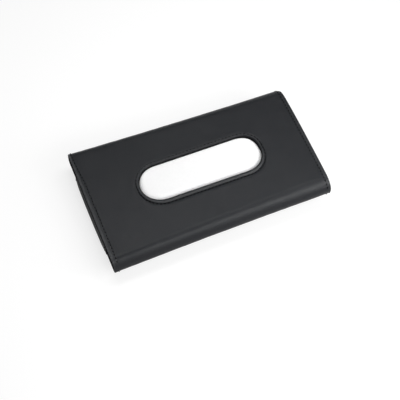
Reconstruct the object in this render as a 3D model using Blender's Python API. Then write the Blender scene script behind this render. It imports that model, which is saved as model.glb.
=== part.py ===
# Car tissue holder: a flat leather sleeve over stiff boards, with a long rounded opening in its front,
# a magnetic flap at one end that lets the pack in, and two spring clips on its back for a sun visor.
# Metres. X runs from the flap end to the closed end, Y from near fold to far fold, Z out of the front.
# The holder lies on its back, on its clips, which touch z = 0.

import math

import bmesh
import bpy
from mathutils import Matrix, Vector

# Fit between pieces that touch
GAP = 0.0003
OVERRUN = 0.002

# Leather sleeve
CASE_LENGTH = 0.2262
MOUTH_WIDTH = 0.1420
CLOSED_WIDTH = 0.1313
WAIST = 0.0018
MOUTH_THICKNESS = 0.018
CLOSED_THICKNESS = 0.024
MOUTH_FOLD_EDGE_RISE = 0.0055
MOUTH_FOLD_OVER_REACH = 0.0085
MOUTH_FOLD_UNDER_REACH = 0.0050
CLOSED_END_BOW = 0.0010
CLOSED_END_FAR_OFFSET = 0.0007
CLOSED_END_NEAR_OFFSET = 0.0010
CLOSED_CORNER_DROP = 0.0009
CLOSED_CORNER_REACH = 0.007
LEATHER = 0.0014

# Opening in the front and its rolled leather rim
OPENING_LENGTH = 0.1266
OPENING_WIDTH = 0.0427
OPENING_OFFSET_X = 0.0025
OPENING_OFFSET_Y = 0.00015
OPENING_FLAP_SIDE_SWELL = 0.0007
OPENING_CLOSED_SIDE_SWELL = 0.0014
RIM_WALL = 0.0009
RIM_BEAD_WIDTH = 0.0030
RIM_BEAD_HEIGHT = 0.0010

# Boards and lining
FRONT_BOARD = 0.0016
BACK_BOARD = 0.0026
LINING = 0.0005
BOARD_EDGE_MARGIN = 0.0012
BOARD_CORNER_RADIUS = 0.005
FRONT_BOARD_SETBACK = 0.0015
LINING_EDGE_MARGIN = 0.0020

# Closed end panel, a shallow leather tray sewn into the sleeve
TRAY_DEPTH = 0.006
TRAY_SETBACK = 0.0005

# Pack of tissues
PACK_WIDTH = 0.100
PACK_CORNER_RADIUS = 0.004
PACK_MOUTH_ROOM = 0.016
PACK_END_ROOM = 0.0006

# End flap with its inner board, lining and magnets
FLAP_LEATHER = 0.0010
FLAP_BOARD = 0.0010
FLAP_LINING = 0.0004
FLAP_FOOT_WIDTH = 0.094
FLAP_TONGUE_WIDTH = 0.084
FLAP_BULGE = 0.0008
FLAP_CORNER_RADIUS = 0.0036
FLAP_TONGUE_CORNER = 0.0035
FLAP_FOOT_DROP = 0.0005
FLAP_INNER_MARGIN = 0.0015
TONGUE_CLEARANCE = 0.0010
BACK_SETBACK_CLEARANCE = 0.0009

# Magnets in the tongue and their keepers in the front board
MAGNET_SPACING = 0.048
MAGNET_LENGTH = 0.012
MAGNET_WIDTH = 0.004
MAGNET_THICKNESS = 0.0010
MAGNET_CORNER_RADIUS = 0.0006
KEEPER_WIDTH = 0.005

# Spring clips
CLIP_SPACING = 0.120
CLIP_STRIP_WIDTH = 0.018
CLIP_STEEL = 0.0008
CLIP_BEND_RADIUS = 0.0046
CLIP_BEND_Y = -0.040
CLIP_BASE_END_Y = 0.034
CLIP_CREST_Y = 0.026
CLIP_CREST_GAP = 0.0024
CLIP_CREST_RADIUS = 0.008
CLIP_LIP_Y = 0.040
CLIP_CORNER_RADIUS = 0.004

# Rivets and washers that hold the clips
RIVET_Y = (-0.031, 0.004)
RIVET_SHANK_RADIUS = 0.0016
RIVET_HEAD_RADIUS = 0.0035
RIVET_HEAD_HEIGHT = 0.0013
RIVET_TAIL_RADIUS = 0.0026
RIVET_TAIL_HEIGHT = 0.0006
WASHER_RADIUS = 0.0050
WASHER_THICKNESS = 0.0005

# Counts and facets
SLEEVE_STATIONS = 9
CLOSED_CORNER_STATIONS = 4
FOLD_STEPS = 8
FLAT_STEPS = 4
ROUND_STEPS = 20
CORNER_STEPS = 5
BEAD_STEPS = 8
BEND_STEPS = 10
FLAP_WALL_ROWS = 6
FLAP_CORNER_ROWS = 4
FLAP_TONGUE_ROWS = 5
FLAP_COLUMNS = 12

# Places that follow from the sizes above
FLAP_STANDOUT = GAP + FLAP_LEATHER + FLAP_BULGE
CASE_SHIFT = (FLAP_STANDOUT - CLOSED_END_BOW) / 2
MOUTH_X = CASE_SHIFT - CASE_LENGTH / 2
CLOSED_X = CASE_SHIFT + CASE_LENGTH / 2
CASE_BOTTOM = GAP + CLIP_STEEL + 2 * CLIP_BEND_RADIUS
OPENING_X = CASE_SHIFT + OPENING_OFFSET_X
OPENING_Y = OPENING_OFFSET_Y

FRONT_BOARD_DOWN = LEATHER + GAP
FRONT_LINING_DOWN = FRONT_BOARD_DOWN + FRONT_BOARD + GAP
FRONT_STACK = FRONT_LINING_DOWN + LINING
BACK_BOARD_UP = LEATHER + GAP
BACK_LINING_UP = BACK_BOARD_UP + BACK_BOARD + GAP
BACK_STACK = BACK_LINING_UP + LINING
TRAY_INSIDE_X = CLOSED_X - TRAY_SETBACK - TRAY_DEPTH

HINGE_X = MOUTH_X - GAP - FLAP_LEATHER / 2
HINGE_Z = CASE_BOTTOM + LEATHER / 2
FLAP_TOTAL = FLAP_LEATHER + GAP + FLAP_BOARD + GAP + FLAP_LINING
BACK_INNER_START_X = HINGE_X - FLAP_LEATHER / 2 + FLAP_TOTAL + BACK_SETBACK_CLEARANCE


def clear_scene():
    for thing in list(bpy.data.objects):
        bpy.data.objects.remove(thing, do_unlink=True)


def blend(first, second, share):
    return first + (second - first) * share


# The sleeve's shape as functions of the place along it

def length_share(x):
    return (x - MOUTH_X) / CASE_LENGTH


def thickness(x):
    return blend(MOUTH_THICKNESS, CLOSED_THICKNESS, length_share(x))


def front_z(x):
    return CASE_BOTTOM + thickness(x)


def half_width(x):
    """Half the width: a taper with a slight waist, whose corners round off at the closed end."""
    share = length_share(x)
    reach = min(1, max(0, 1 - (CLOSED_X - x) / CLOSED_CORNER_REACH))
    drop = CLOSED_CORNER_DROP * (1 - math.sqrt(1 - reach ** 2))
    return blend(MOUTH_WIDTH, CLOSED_WIDTH, share) / 2 - WAIST / 2 * 4 * share * (1 - share) - drop


def fold_over_reach(x):
    return blend(MOUTH_FOLD_OVER_REACH, CLOSED_THICKNESS / 2, length_share(x))


def fold_under_reach(x):
    return blend(MOUTH_FOLD_UNDER_REACH, CLOSED_THICKNESS / 2, length_share(x))


def fold_edge_rise(x):
    return blend(MOUTH_FOLD_EDGE_RISE, CLOSED_THICKNESS / 2, length_share(x))


def flat_half_width(x):
    return half_width(x) - fold_over_reach(x)


def fold_outline(x, inset):
    """The far fold from the front face round to the back, as (y, height above the back), set in from
    the outer surface: two quarter ellipses that meet at the fold's edge."""
    over, under, rise = fold_over_reach(x), fold_under_reach(x), fold_edge_rise(x)
    drop = thickness(x) - rise
    points = []
    for step in range(FOLD_STEPS + 1):
        turn = math.pi / 2 * step / FOLD_STEPS
        y = half_width(x) - over + over * math.sin(turn)
        z = rise + drop * math.cos(turn)
        normal = Vector((math.sin(turn) / over, math.cos(turn) / drop)).normalized()
        points.append((y - inset * normal.x, z - inset * normal.y))
    for step in range(1, FOLD_STEPS + 1):
        turn = math.pi / 2 * step / FOLD_STEPS
        y = half_width(x) - under + under * math.cos(turn)
        z = rise - rise * math.sin(turn)
        normal = Vector((math.cos(turn) / under, -math.sin(turn) / rise)).normalized()
        points.append((y - inset * normal.x, z - inset * normal.y))
    return points


def sleeve_outline(x, inset):
    """The closed outline of the sleeve across its length: front face, far fold, back, near fold."""
    fold = fold_outline(x, inset)
    front_y, front_height = fold[0]
    back_y, back_height = fold[-1]
    front = [(front_y * (2 * step / FLAT_STEPS - 1), front_height) for step in range(1, FLAT_STEPS)]
    back = [(back_y * (1 - 2 * step / FLAT_STEPS), back_height) for step in range(1, FLAT_STEPS)]
    near = [(-y, height) for y, height in reversed(fold)]
    return front + fold + back + near


def bowed_x(x, y):
    """The closed end stands out a little at mid width and a little more on its far side, and its near
    fold flares; all of it fades towards the mouth."""
    across = max(-1, min(1, y / half_width(x)))
    far = min(1, max(0, (across + 0.5) / 1.3))
    near = max(0, (-across - 0.8) / 0.2)
    offset = CLOSED_END_BOW * (1 - across ** 2)
    offset += CLOSED_END_FAR_OFFSET * far ** 2 * (3 - 2 * far) + CLOSED_END_NEAR_OFFSET * near ** 2
    return x + offset * length_share(x)


def sleeve_ring(x, inset):
    return [Vector((bowed_x(x, y), y, CASE_BOTTOM + height)) for y, height in sleeve_outline(x, inset)]


# Mesh making

def material(name, colour, roughness, metallic=0.0):
    made = bpy.data.materials.new(name)
    made.use_nodes = True
    shader = made.node_tree.nodes["Principled BSDF"]
    shader.inputs["Base Color"].default_value = (*colour, 1.0)
    shader.inputs["Roughness"].default_value = roughness
    shader.inputs["Metallic"].default_value = metallic
    made.diffuse_color = (*colour, 1.0)
    return made


def add_object(name, points, faces, finish=None):
    mesh = bpy.data.meshes.new(name)
    mesh.from_pydata([tuple(point) for point in points], [], faces)
    shape = bmesh.new()
    shape.from_mesh(mesh)
    bmesh.ops.recalc_face_normals(shape, faces=shape.faces)
    shape.to_mesh(mesh)
    shape.free()
    mesh.shade_smooth()
    mesh.set_sharp_from_angle(angle=math.radians(35))
    if finish:
        mesh.materials.append(finish)
    made = bpy.data.objects.new(name, mesh)
    bpy.context.scene.collection.objects.link(made)
    return made


def ring_faces(count, first, second):
    """Quads between two closed rings of points that start at these indices."""
    return [
        (first + i, first + (i + 1) % count, second + (i + 1) % count, second + i)
        for i in range(count)
    ]


def loft(name, rings, finish, closed=False):
    """Joins rings of points in turn, and caps both ends, or joins the last ring to the first."""
    count = len(rings[0])
    points = [point for ring in rings for point in ring]
    faces = []
    for i in range(len(rings) - 1):
        faces += ring_faces(count, i * count, (i + 1) * count)
    if closed:
        faces += ring_faces(count, (len(rings) - 1) * count, 0)
    else:
        faces += [tuple(range(count)), tuple(range(len(points) - count, len(points)))]
    return add_object(name, points, faces, finish)


def prism(name, outline, low, high, finish=None):
    """A plate of this (x, y) outline between two surfaces given as heights along x."""
    rings = [[Vector((x, y, level(x))) for x, y in outline] for level in (low, high)]
    return loft(name, rings, finish)


def grid_shell(name, outer, inner, finish):
    """A skin between two grids of points, rows along and columns across, closed round its edge."""
    rows, columns = len(outer), len(outer[0])
    points = [point for grid in (outer, inner) for row in grid for point in row]
    half = rows * columns
    faces = []
    for start in (0, half):
        for r in range(rows - 1):
            for c in range(columns - 1):
                corner = start + r * columns + c
                faces.append((corner, corner + 1, corner + columns + 1, corner + columns))
    edge = [c for c in range(columns)]
    edge += [r * columns + columns - 1 for r in range(1, rows)]
    edge += [(rows - 1) * columns + c for c in range(columns - 2, -1, -1)]
    edge += [r * columns for r in range(rows - 2, 0, -1)]
    for i, corner in enumerate(edge):
        following = edge[(i + 1) % len(edge)]
        faces.append((corner, following, half + following, half + corner))
    return add_object(name, points, faces, finish)


def turned(name, profile, centre, finish=None):
    """A piece turned about a vertical axis. The profile is (radius, z) and starts and ends on the axis,
    or forms a closed loop away from it."""
    rings = []
    for step in range(ROUND_STEPS):
        turn = 2 * math.pi * step / ROUND_STEPS
        rings.append([
            Vector((centre[0] + r * math.cos(turn), centre[1] + r * math.sin(turn), z))
            for r, z in profile
        ])
    if profile[0][0] > 0:
        return loft(name, rings, finish, closed=True)
    inner = len(profile) - 2
    points = [rings[0][0], rings[0][-1]] + [point for ring in rings for point in ring[1:-1]]
    faces = []
    for step in range(ROUND_STEPS):
        here, there = 2 + step * inner, 2 + (step + 1) % ROUND_STEPS * inner
        faces.append((0, here, there))
        faces.append((1, there + inner - 1, here + inner - 1))
        faces += [(here + i, here + i + 1, there + i + 1, there + i) for i in range(inner - 1)]
    return add_object(name, points, faces, finish)


def rounded_outline(corners, steps=CORNER_STEPS):
    """A closed outline through ((x, y), corner radius) pairs, each corner rounded by an arc."""
    outline = []
    for i, (corner, radius) in enumerate(corners):
        here = Vector(corner)
        if not radius:
            outline.append(tuple(here))
            continue
        to_last = (Vector(corners[i - 1][0]) - here).normalized()
        to_next = (Vector(corners[(i + 1) % len(corners)][0]) - here).normalized()
        half_angle = to_last.angle(to_next) / 2
        centre = here + (to_last + to_next).normalized() * (radius / math.sin(half_angle))
        start = here + to_last * (radius / math.tan(half_angle)) - centre
        end = here + to_next * (radius / math.tan(half_angle)) - centre
        sweep = math.copysign(math.pi - 2 * half_angle, start.x * end.y - start.y * end.x)
        first_turn = math.atan2(start.y, start.x)
        for step in range(steps + 1):
            turn = first_turn + sweep * step / steps
            outline.append((centre.x + radius * math.cos(turn), centre.y + radius * math.sin(turn)))
    return outline


def rectangle(x_low, x_high, y_low, y_high, radius):
    return rounded_outline([
        ((x_low, y_low), radius),
        ((x_high, y_low), radius),
        ((x_high, y_high), radius),
        ((x_low, y_high), radius),
    ])


def stadium(grow):
    """The opening's outline, grown outwards, as (place, outward normal). Its ends are half round and
    swell a little at their far corners."""
    radius = OPENING_WIDTH / 2
    reach = OPENING_LENGTH / 2 - radius
    path = []
    for side in (1, -1):
        for step in range(ROUND_STEPS + 1):
            turn = math.pi * step / ROUND_STEPS - math.pi / 2
            normal = Vector((side * math.cos(turn), side * math.sin(turn)))
            centre = Vector((OPENING_X + side * reach, OPENING_Y))
            most = OPENING_CLOSED_SIDE_SWELL if side > 0 else OPENING_FLAP_SIDE_SWELL
            swell = most * (2 * normal.x * max(0, normal.y)) ** 2
            path.append((centre + normal * (radius + grow + swell), normal))
    return path


def cut(body, cutter):
    """Takes the cutter out of the body and keeps it as a hidden helper."""
    cutter.hide_render = True
    cutter.display_type = "WIRE"
    step = body.modifiers.new("cut_" + cutter.name, "BOOLEAN")
    step.operation = "DIFFERENCE"
    step.object = cutter


def front_cutter(name):
    """The hole that the opening's rim passes through."""
    outline = [tuple(place) for place, _ in stadium(RIM_WALL + GAP)]
    top = CASE_BOTTOM + CLOSED_THICKNESS + OVERRUN
    return prism(name, outline, lambda x: front_z(x) - FRONT_STACK - OVERRUN, lambda x: top)


# Sleeve, its opening and its closed end

def make_sleeve(leather):
    corner_x = CLOSED_X - CLOSED_CORNER_REACH
    stations = [
        blend(MOUTH_X, corner_x, step / (SLEEVE_STATIONS - 1)) for step in range(SLEEVE_STATIONS)
    ]
    for step in range(1, CLOSED_CORNER_STATIONS + 1):
        turn = math.pi / 2 * step / CLOSED_CORNER_STATIONS
        stations.append(corner_x + CLOSED_CORNER_REACH * math.sin(turn))
    outside = [sleeve_ring(x, 0) for x in stations]
    inside = [sleeve_ring(x, LEATHER) for x in reversed(stations)]
    sleeve = loft("wrap_cover", outside + inside, leather, closed=True)
    cut(sleeve, front_cutter("wrap_opening"))
    return sleeve


def make_rim(leather):
    """A leather binding: a rounded bead on the front face and a wall down through the boards."""
    profile = [(RIM_WALL, -FRONT_STACK), (0, -FRONT_STACK)]
    for step in range(BEAD_STEPS + 1):
        turn = math.pi * step / BEAD_STEPS
        out = RIM_BEAD_WIDTH / 2 * (1 - math.cos(turn))
        profile.append((out, GAP + RIM_BEAD_HEIGHT * math.sin(turn)))
    profile.append((RIM_WALL, GAP))
    rings = []
    for place, normal in stadium(0):
        ring = []
        for out, up in profile:
            x, y = place + normal * out
            ring.append(Vector((x, y, front_z(x) + up)))
        rings.append(ring)
    return loft("opening_rim", rings, leather, closed=True)


def make_closed_end(leather):
    """A tray that closes the sleeve: a web at its end and a flange along the inside of the wrap."""
    outer_end, inner_end = CLOSED_X - TRAY_SETBACK, TRAY_INSIDE_X
    wall = LEATHER + GAP
    rings = [
        sleeve_ring(inner_end, wall + LEATHER),
        sleeve_ring(inner_end, wall),
        sleeve_ring(outer_end, wall),
    ]
    pocket = sleeve_ring(outer_end - LEATHER, wall + LEATHER)
    count = len(pocket)
    points = rings[1] + rings[2] + rings[0] + pocket
    faces = ring_faces(count, 0, count) + ring_faces(count, 2 * count, 0)
    faces += ring_faces(count, 2 * count, 3 * count)
    faces += [tuple(range(count, 2 * count)), tuple(range(3 * count, 4 * count))]
    return add_object("closed_end_panel", points, faces, leather)


# Boards and linings

def panel_outline(start_x, end_x, margin, radius):
    """A panel that follows the sleeve's flat faces, waist and taper, with round corners."""
    corners = []
    for side, steps in ((-1, range(SLEEVE_STATIONS)), (1, reversed(range(SLEEVE_STATIONS)))):
        for step in steps:
            x = blend(start_x, end_x, step / (SLEEVE_STATIONS - 1))
            at_corner = step in (0, SLEEVE_STATIONS - 1)
            y = side * (flat_half_width(x) - margin)
            corners.append(((x, y), radius if at_corner else 0))
    return rounded_outline(corners)


def make_front_board(card):
    outline = panel_outline(
        MOUTH_X + FRONT_BOARD_SETBACK, TRAY_INSIDE_X - GAP, BOARD_EDGE_MARGIN, BOARD_CORNER_RADIUS
    )
    board = prism(
        "front_board", outline,
        lambda x: front_z(x) - FRONT_BOARD_DOWN - FRONT_BOARD,
        lambda x: front_z(x) - FRONT_BOARD_DOWN,
        card,
    )
    cut(board, front_cutter("front_board_opening"))
    for side, name in ((-1, "near"), (1, "far")):
        y = side * MAGNET_SPACING / 2
        pocket = rectangle(
            keeper_x() - KEEPER_WIDTH / 2 - GAP, keeper_x() + KEEPER_WIDTH / 2 + GAP,
            y - MAGNET_LENGTH / 2 - GAP, y + MAGNET_LENGTH / 2 + GAP,
            MAGNET_CORNER_RADIUS,
        )
        cut(board, prism(
            "keeper_pocket_" + name, pocket,
            lambda x: front_z(x) - FRONT_STACK - OVERRUN,
            lambda x: front_z(x) + OVERRUN,
        ))
    return board


def make_back_board(card):
    outline = panel_outline(
        BACK_INNER_START_X, TRAY_INSIDE_X - GAP, BOARD_EDGE_MARGIN, BOARD_CORNER_RADIUS
    )
    low = CASE_BOTTOM + BACK_BOARD_UP
    high = low + BACK_BOARD
    return prism("back_board", outline, lambda x: low, lambda x: high, card)


def make_linings(cloth):
    inner_end = TRAY_INSIDE_X - GAP
    margin = BOARD_EDGE_MARGIN + LINING_EDGE_MARGIN
    front = prism(
        "front_lining",
        panel_outline(MOUTH_X + FRONT_BOARD_SETBACK, inner_end, margin, BOARD_CORNER_RADIUS),
        lambda x: front_z(x) - FRONT_STACK,
        lambda x: front_z(x) - FRONT_LINING_DOWN,
        cloth,
    )
    cut(front, front_cutter("front_lining_opening"))
    low = CASE_BOTTOM + BACK_LINING_UP
    prism(
        "back_lining",
        panel_outline(BACK_INNER_START_X, inner_end, margin, BOARD_CORNER_RADIUS),
        lambda x: low, lambda x: low + LINING, cloth,
    )


def make_pack(paper):
    outline = rectangle(
        MOUTH_X + PACK_MOUTH_ROOM, TRAY_INSIDE_X - PACK_END_ROOM,
        -PACK_WIDTH / 2, PACK_WIDTH / 2, PACK_CORNER_RADIUS,
    )
    low = CASE_BOTTOM + BACK_STACK + GAP
    return prism(
        "tissue_pack", outline, lambda x: low, lambda x: front_z(x) - FRONT_STACK - GAP, paper
    )


# End flap. Its outer surface is a wall that stands on the hinge, a round corner, and a tongue whose
# arc is centred on the hinge, so that the tongue swings out from under the front without rising.

def tongue_radius():
    room = MOUTH_THICKNESS - FRONT_STACK - LEATHER / 2
    return room - TONGUE_CLEARANCE


def flap_corner():
    """Centre of the round corner, which touches the wall and the tongue's arc, from the hinge, and the
    turn from upright at which it meets the arc."""
    x = FLAP_CORNER_RADIUS - FLAP_LEATHER / 2
    z = math.sqrt((tongue_radius() - FLAP_CORNER_RADIUS) ** 2 - x ** 2)
    return x, z, math.atan2(x, z)


def tongue_end_turn():
    """The tongue ends where its inner face is still clear of the back lining."""
    lowest = BACK_STACK - LEATHER / 2 + TONGUE_CLEARANCE
    return math.acos(lowest / (tongue_radius() - FLAP_TOTAL))


def flap_profile(depth, foot, parts):
    """Points (x, z) from the hinge along the flap at this depth under its outer face, each with its
    share of the bulge and its distance along the flap's outer face."""
    corner_x, corner_z, meet = flap_corner()
    points = []
    for row in range(FLAP_WALL_ROWS + 1):
        z = blend(foot, corner_z, row / FLAP_WALL_ROWS)
        puff = math.sin(math.pi * max(0, z) / corner_z)
        points.append((depth - FLAP_LEATHER / 2, z, puff, z + FLAP_FOOT_DROP))
    if "corner" in parts:
        along = corner_z + FLAP_FOOT_DROP
        sweep = math.pi / 2 + meet
        radius = FLAP_CORNER_RADIUS - depth
        for row in range(1, FLAP_CORNER_ROWS + 1):
            turn = math.pi - sweep * row / FLAP_CORNER_ROWS
            points.append((
                corner_x + radius * math.cos(turn), corner_z + radius * math.sin(turn), 0,
                along + FLAP_CORNER_RADIUS * (math.pi - turn),
            ))
        along += FLAP_CORNER_RADIUS * sweep
        for row in range(1, FLAP_TONGUE_ROWS + 1):
            turn = blend(meet, tongue_end_turn(), row / FLAP_TONGUE_ROWS)
            radius = tongue_radius() - depth
            points.append((
                radius * math.sin(turn), radius * math.cos(turn), 0,
                along + tongue_radius() * (turn - meet),
            ))
    return points


def flap_length():
    return flap_profile(0, -FLAP_FOOT_DROP, "wall and corner")[-1][3]


def flap_half_width(along, margin):
    """Half the flap's width at this distance from its foot: a taper, then rounded tongue corners."""
    left = max(0, flap_length() - along)
    half = blend(FLAP_FOOT_WIDTH, FLAP_TONGUE_WIDTH, along / flap_length()) / 2
    if left < FLAP_TONGUE_CORNER:
        rise = FLAP_TONGUE_CORNER - left
        half -= FLAP_TONGUE_CORNER - math.sqrt(FLAP_TONGUE_CORNER ** 2 - rise ** 2)
    return half - margin


def flap_grid(depth, foot, parts, margin):
    grid = []
    for x, z, puff, along in flap_profile(depth, foot, parts):
        row = []
        for column in range(FLAP_COLUMNS + 1):
            share = 2 * column / FLAP_COLUMNS - 1
            out = FLAP_BULGE * puff * (1 - share ** 2)
            y = share * flap_half_width(along, margin)
            row.append(Vector((HINGE_X + x - out, y, HINGE_Z + z)))
        grid.append(row)
    return grid


def make_flap(leather, card, cloth):
    whole, wall = "wall and corner", "wall"
    inner_foot = LEATHER / 2 + GAP
    board_depth = FLAP_LEATHER + GAP
    lining_depth = board_depth + FLAP_BOARD + GAP
    grid_shell(
        "end_flap",
        flap_grid(0, -FLAP_FOOT_DROP, whole, 0),
        flap_grid(FLAP_LEATHER, -FLAP_FOOT_DROP, whole, 0),
        leather,
    )
    grid_shell(
        "end_flap_board",
        flap_grid(board_depth, inner_foot, wall, FLAP_INNER_MARGIN),
        flap_grid(board_depth + FLAP_BOARD, inner_foot, wall, FLAP_INNER_MARGIN),
        card,
    )
    grid_shell(
        "end_flap_lining",
        flap_grid(lining_depth, inner_foot, whole, FLAP_INNER_MARGIN),
        flap_grid(lining_depth + FLAP_LINING, inner_foot, whole, FLAP_INNER_MARGIN),
        cloth,
    )


def magnet_turn():
    return (flap_corner()[2] + tongue_end_turn()) / 2


def keeper_x():
    return HINGE_X + tongue_radius() * math.sin(magnet_turn())


def make_magnets(steel):
    """Bars that lie flat in the tongue, and their keepers level with the front board."""
    skin = tongue_radius() - FLAP_LEATHER - GAP
    top = math.sqrt(skin ** 2 - (MAGNET_WIDTH / 2) ** 2)
    bar = rectangle(
        -MAGNET_WIDTH / 2, MAGNET_WIDTH / 2, -MAGNET_LENGTH / 2, MAGNET_LENGTH / 2,
        MAGNET_CORNER_RADIUS,
    )
    for side, name in ((-1, "near"), (1, "far")):
        y = side * MAGNET_SPACING / 2
        magnet = prism(
            "flap_magnet_" + name, bar, lambda x: top - MAGNET_THICKNESS, lambda x: top, steel
        )
        magnet.location = (HINGE_X, y, HINGE_Z)
        magnet.rotation_euler = (0, magnet_turn(), 0)
        keeper = rectangle(
            keeper_x() - KEEPER_WIDTH / 2, keeper_x() + KEEPER_WIDTH / 2,
            y - MAGNET_LENGTH / 2, y + MAGNET_LENGTH / 2, MAGNET_CORNER_RADIUS,
        )
        prism(
            "keeper_magnet_" + name, keeper,
            lambda x: front_z(x) - FRONT_BOARD_DOWN - FRONT_BOARD,
            lambda x: front_z(x) - FRONT_BOARD_DOWN,
            steel,
        )


# Spring clips: a strip riveted to the back, bent round at its end, whose arm presses on the visor.

def strip(name, path, low_x, high_x, finish):
    """A steel strip along a (y, z) path, with its thickness either side of it."""
    sides = ([], [])
    for i, (y, z) in enumerate(path):
        before, after = Vector(path[max(0, i - 1)]), Vector(path[min(len(path) - 1, i + 1)])
        along = (after - before).normalized()
        normal = Vector((-along.y, along.x)) * (CLIP_STEEL / 2)
        sides[0].append((y + normal.x, z + normal.y))
        sides[1].append((y - normal.x, z - normal.y))
    outline = sides[0] + sides[1][::-1]
    rings = [[Vector((x, y, z)) for y, z in outline] for x in (low_x, high_x)]
    return loft(name, rings, finish)


def clip_levels():
    """Heights of the clip's middle surface at its base and at the arm's crest."""
    base = CASE_BOTTOM - GAP - CLIP_STEEL / 2
    crest = CASE_BOTTOM - CLIP_CREST_GAP - CLIP_STEEL / 2
    return base, crest


def arm_slope():
    """The angle of the line from the crest that just touches the underside of the bend."""
    base, crest = clip_levels()
    across = CLIP_CREST_Y - CLIP_BEND_Y
    up = crest - (base - CLIP_BEND_RADIUS)
    return math.atan2(up, across) + math.asin(CLIP_BEND_RADIUS / math.hypot(across, up))


def bend_point(turn):
    base, _ = clip_levels()
    y = CLIP_BEND_Y + CLIP_BEND_RADIUS * math.cos(turn)
    z = base - CLIP_BEND_RADIUS + CLIP_BEND_RADIUS * math.sin(turn)
    return y, z


def base_path():
    base, _ = clip_levels()
    path = [(CLIP_BASE_END_Y, base)]
    for step in range(BEND_STEPS + 1):
        path.append(bend_point(math.pi / 2 + math.pi * step / BEND_STEPS))
    path.append(bend_point(3 * math.pi / 2 + arm_slope()))
    return path


def arm_root():
    """Where the arm starts, one gap on from the bend, and the hinge line midway between them."""
    y, z = base_path()[-1]
    along = Vector((math.cos(arm_slope()), math.sin(arm_slope())))
    return Vector((y, z)) + along * GAP, Vector((y, z)) + along * (GAP / 2)


def arm_path():
    _, crest = clip_levels()
    start, _ = arm_root()
    corners = [
        (tuple(start), 0),
        ((CLIP_CREST_Y, crest), CLIP_CREST_RADIUS),
        ((CLIP_LIP_Y, CLIP_STEEL / 2), 0),
    ]
    return rounded_outline(corners)


def make_clips(steel):
    for side, name in ((-1, "left"), (1, "right")):
        centre_x = side * CLIP_SPACING / 2
        low_x, high_x = centre_x - CLIP_STRIP_WIDTH / 2, centre_x + CLIP_STRIP_WIDTH / 2
        base = strip("clip_base_" + name, base_path(), low_x, high_x, steel)
        for i, y in enumerate(RIVET_Y):
            cut(base, shank_hole(f"clip_hole_{name}_{i}", (centre_x, y)))
        hinge = bpy.data.objects.new("clip_hinge_" + name, None)
        hinge.location = (centre_x, *arm_root()[1])
        bpy.context.scene.collection.objects.link(hinge)
        arm = strip("clip_arm_" + name, arm_path(), low_x, high_x, steel)
        arm.parent = hinge
        arm.matrix_parent_inverse = Matrix.Translation(hinge.location).inverted()


# Rivets through the clip, the leather and the back board, with a washer let into the board

def shank_hole(name, centre):
    radius = RIVET_SHANK_RADIUS + GAP
    low = CASE_BOTTOM - CLIP_STEEL - OVERRUN
    high = CASE_BOTTOM + BACK_STACK + OVERRUN
    return turned(name, [(0, low), (radius, low), (radius, high), (0, high)], centre)


def rivet_levels():
    """Heights of the rivet head's top, the washer's underside and the tail's underside."""
    board_top = CASE_BOTTOM + BACK_BOARD_UP + BACK_BOARD
    tail_low = board_top - RIVET_TAIL_HEIGHT
    washer_low = tail_low - GAP - WASHER_THICKNESS
    return CASE_BOTTOM - GAP - CLIP_STEEL - GAP, washer_low, tail_low


def washer_well(name, centre):
    _, washer_low, _ = rivet_levels()
    radius = WASHER_RADIUS + GAP
    low, high = washer_low - GAP, CASE_BOTTOM + BACK_STACK + OVERRUN
    return turned(name, [(0, low), (radius, low), (radius, high), (0, high)], centre)


def make_rivets(sleeve, back_board, steel):
    head_top, washer_low, tail_low = rivet_levels()
    dome = [
        (
            RIVET_HEAD_RADIUS * math.sin(math.pi / 2 * step / CORNER_STEPS),
            head_top - RIVET_HEAD_HEIGHT * math.cos(math.pi / 2 * step / CORNER_STEPS),
        )
        for step in range(CORNER_STEPS + 1)
    ]
    profile = dome + [
        (RIVET_SHANK_RADIUS, head_top),
        (RIVET_SHANK_RADIUS, tail_low),
        (RIVET_TAIL_RADIUS, tail_low),
        (RIVET_TAIL_RADIUS, tail_low + RIVET_TAIL_HEIGHT / 2),
        (RIVET_SHANK_RADIUS, tail_low + RIVET_TAIL_HEIGHT),
        (0, tail_low + RIVET_TAIL_HEIGHT),
    ]
    bore = RIVET_SHANK_RADIUS + GAP
    washer = [
        (bore, washer_low),
        (WASHER_RADIUS, washer_low),
        (WASHER_RADIUS, washer_low + WASHER_THICKNESS),
        (bore, washer_low + WASHER_THICKNESS),
    ]
    for side, name in ((-1, "left"), (1, "right")):
        for y, place in zip(RIVET_Y, ("near", "far")):
            centre = (side * CLIP_SPACING / 2, y)
            label = f"{name}_{place}"
            cut(sleeve, shank_hole("wrap_hole_" + label, centre))
            cut(back_board, shank_hole("board_hole_" + label, centre))
            cut(back_board, washer_well("washer_well_" + label, centre))
            turned("rivet_" + label, profile, centre, steel)
            turned("rivet_washer_" + label, washer, centre, steel)


def main():
    clear_scene()
    leather = material("black_leather", (0.030, 0.031, 0.034), 0.46)
    card = material("grey_card", (0.22, 0.21, 0.20), 0.85)
    cloth = material("black_cloth", (0.018, 0.018, 0.020), 0.90)
    paper = material("white_tissue", (0.86, 0.86, 0.86), 0.95)
    steel = material("spring_steel", (0.55, 0.56, 0.58), 0.30, 1.0)
    magnet_steel = material("magnet_steel", (0.42, 0.42, 0.44), 0.35, 1.0)
    sleeve = make_sleeve(leather)
    make_rim(leather)
    make_closed_end(leather)
    make_front_board(card)
    back_board = make_back_board(card)
    make_linings(cloth)
    make_pack(paper)
    make_flap(leather, card, cloth)
    make_magnets(magnet_steel)
    make_clips(steel)
    make_rivets(sleeve, back_board, steel)


main()
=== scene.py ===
# Car tissue holder: leather, card, cloth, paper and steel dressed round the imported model.
# Metres. X runs from the flap end to the closed end, Y from the near fold to the far fold,
# Z out of the front. The holder lies on its clips, which touch z = 0.

import math

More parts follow.
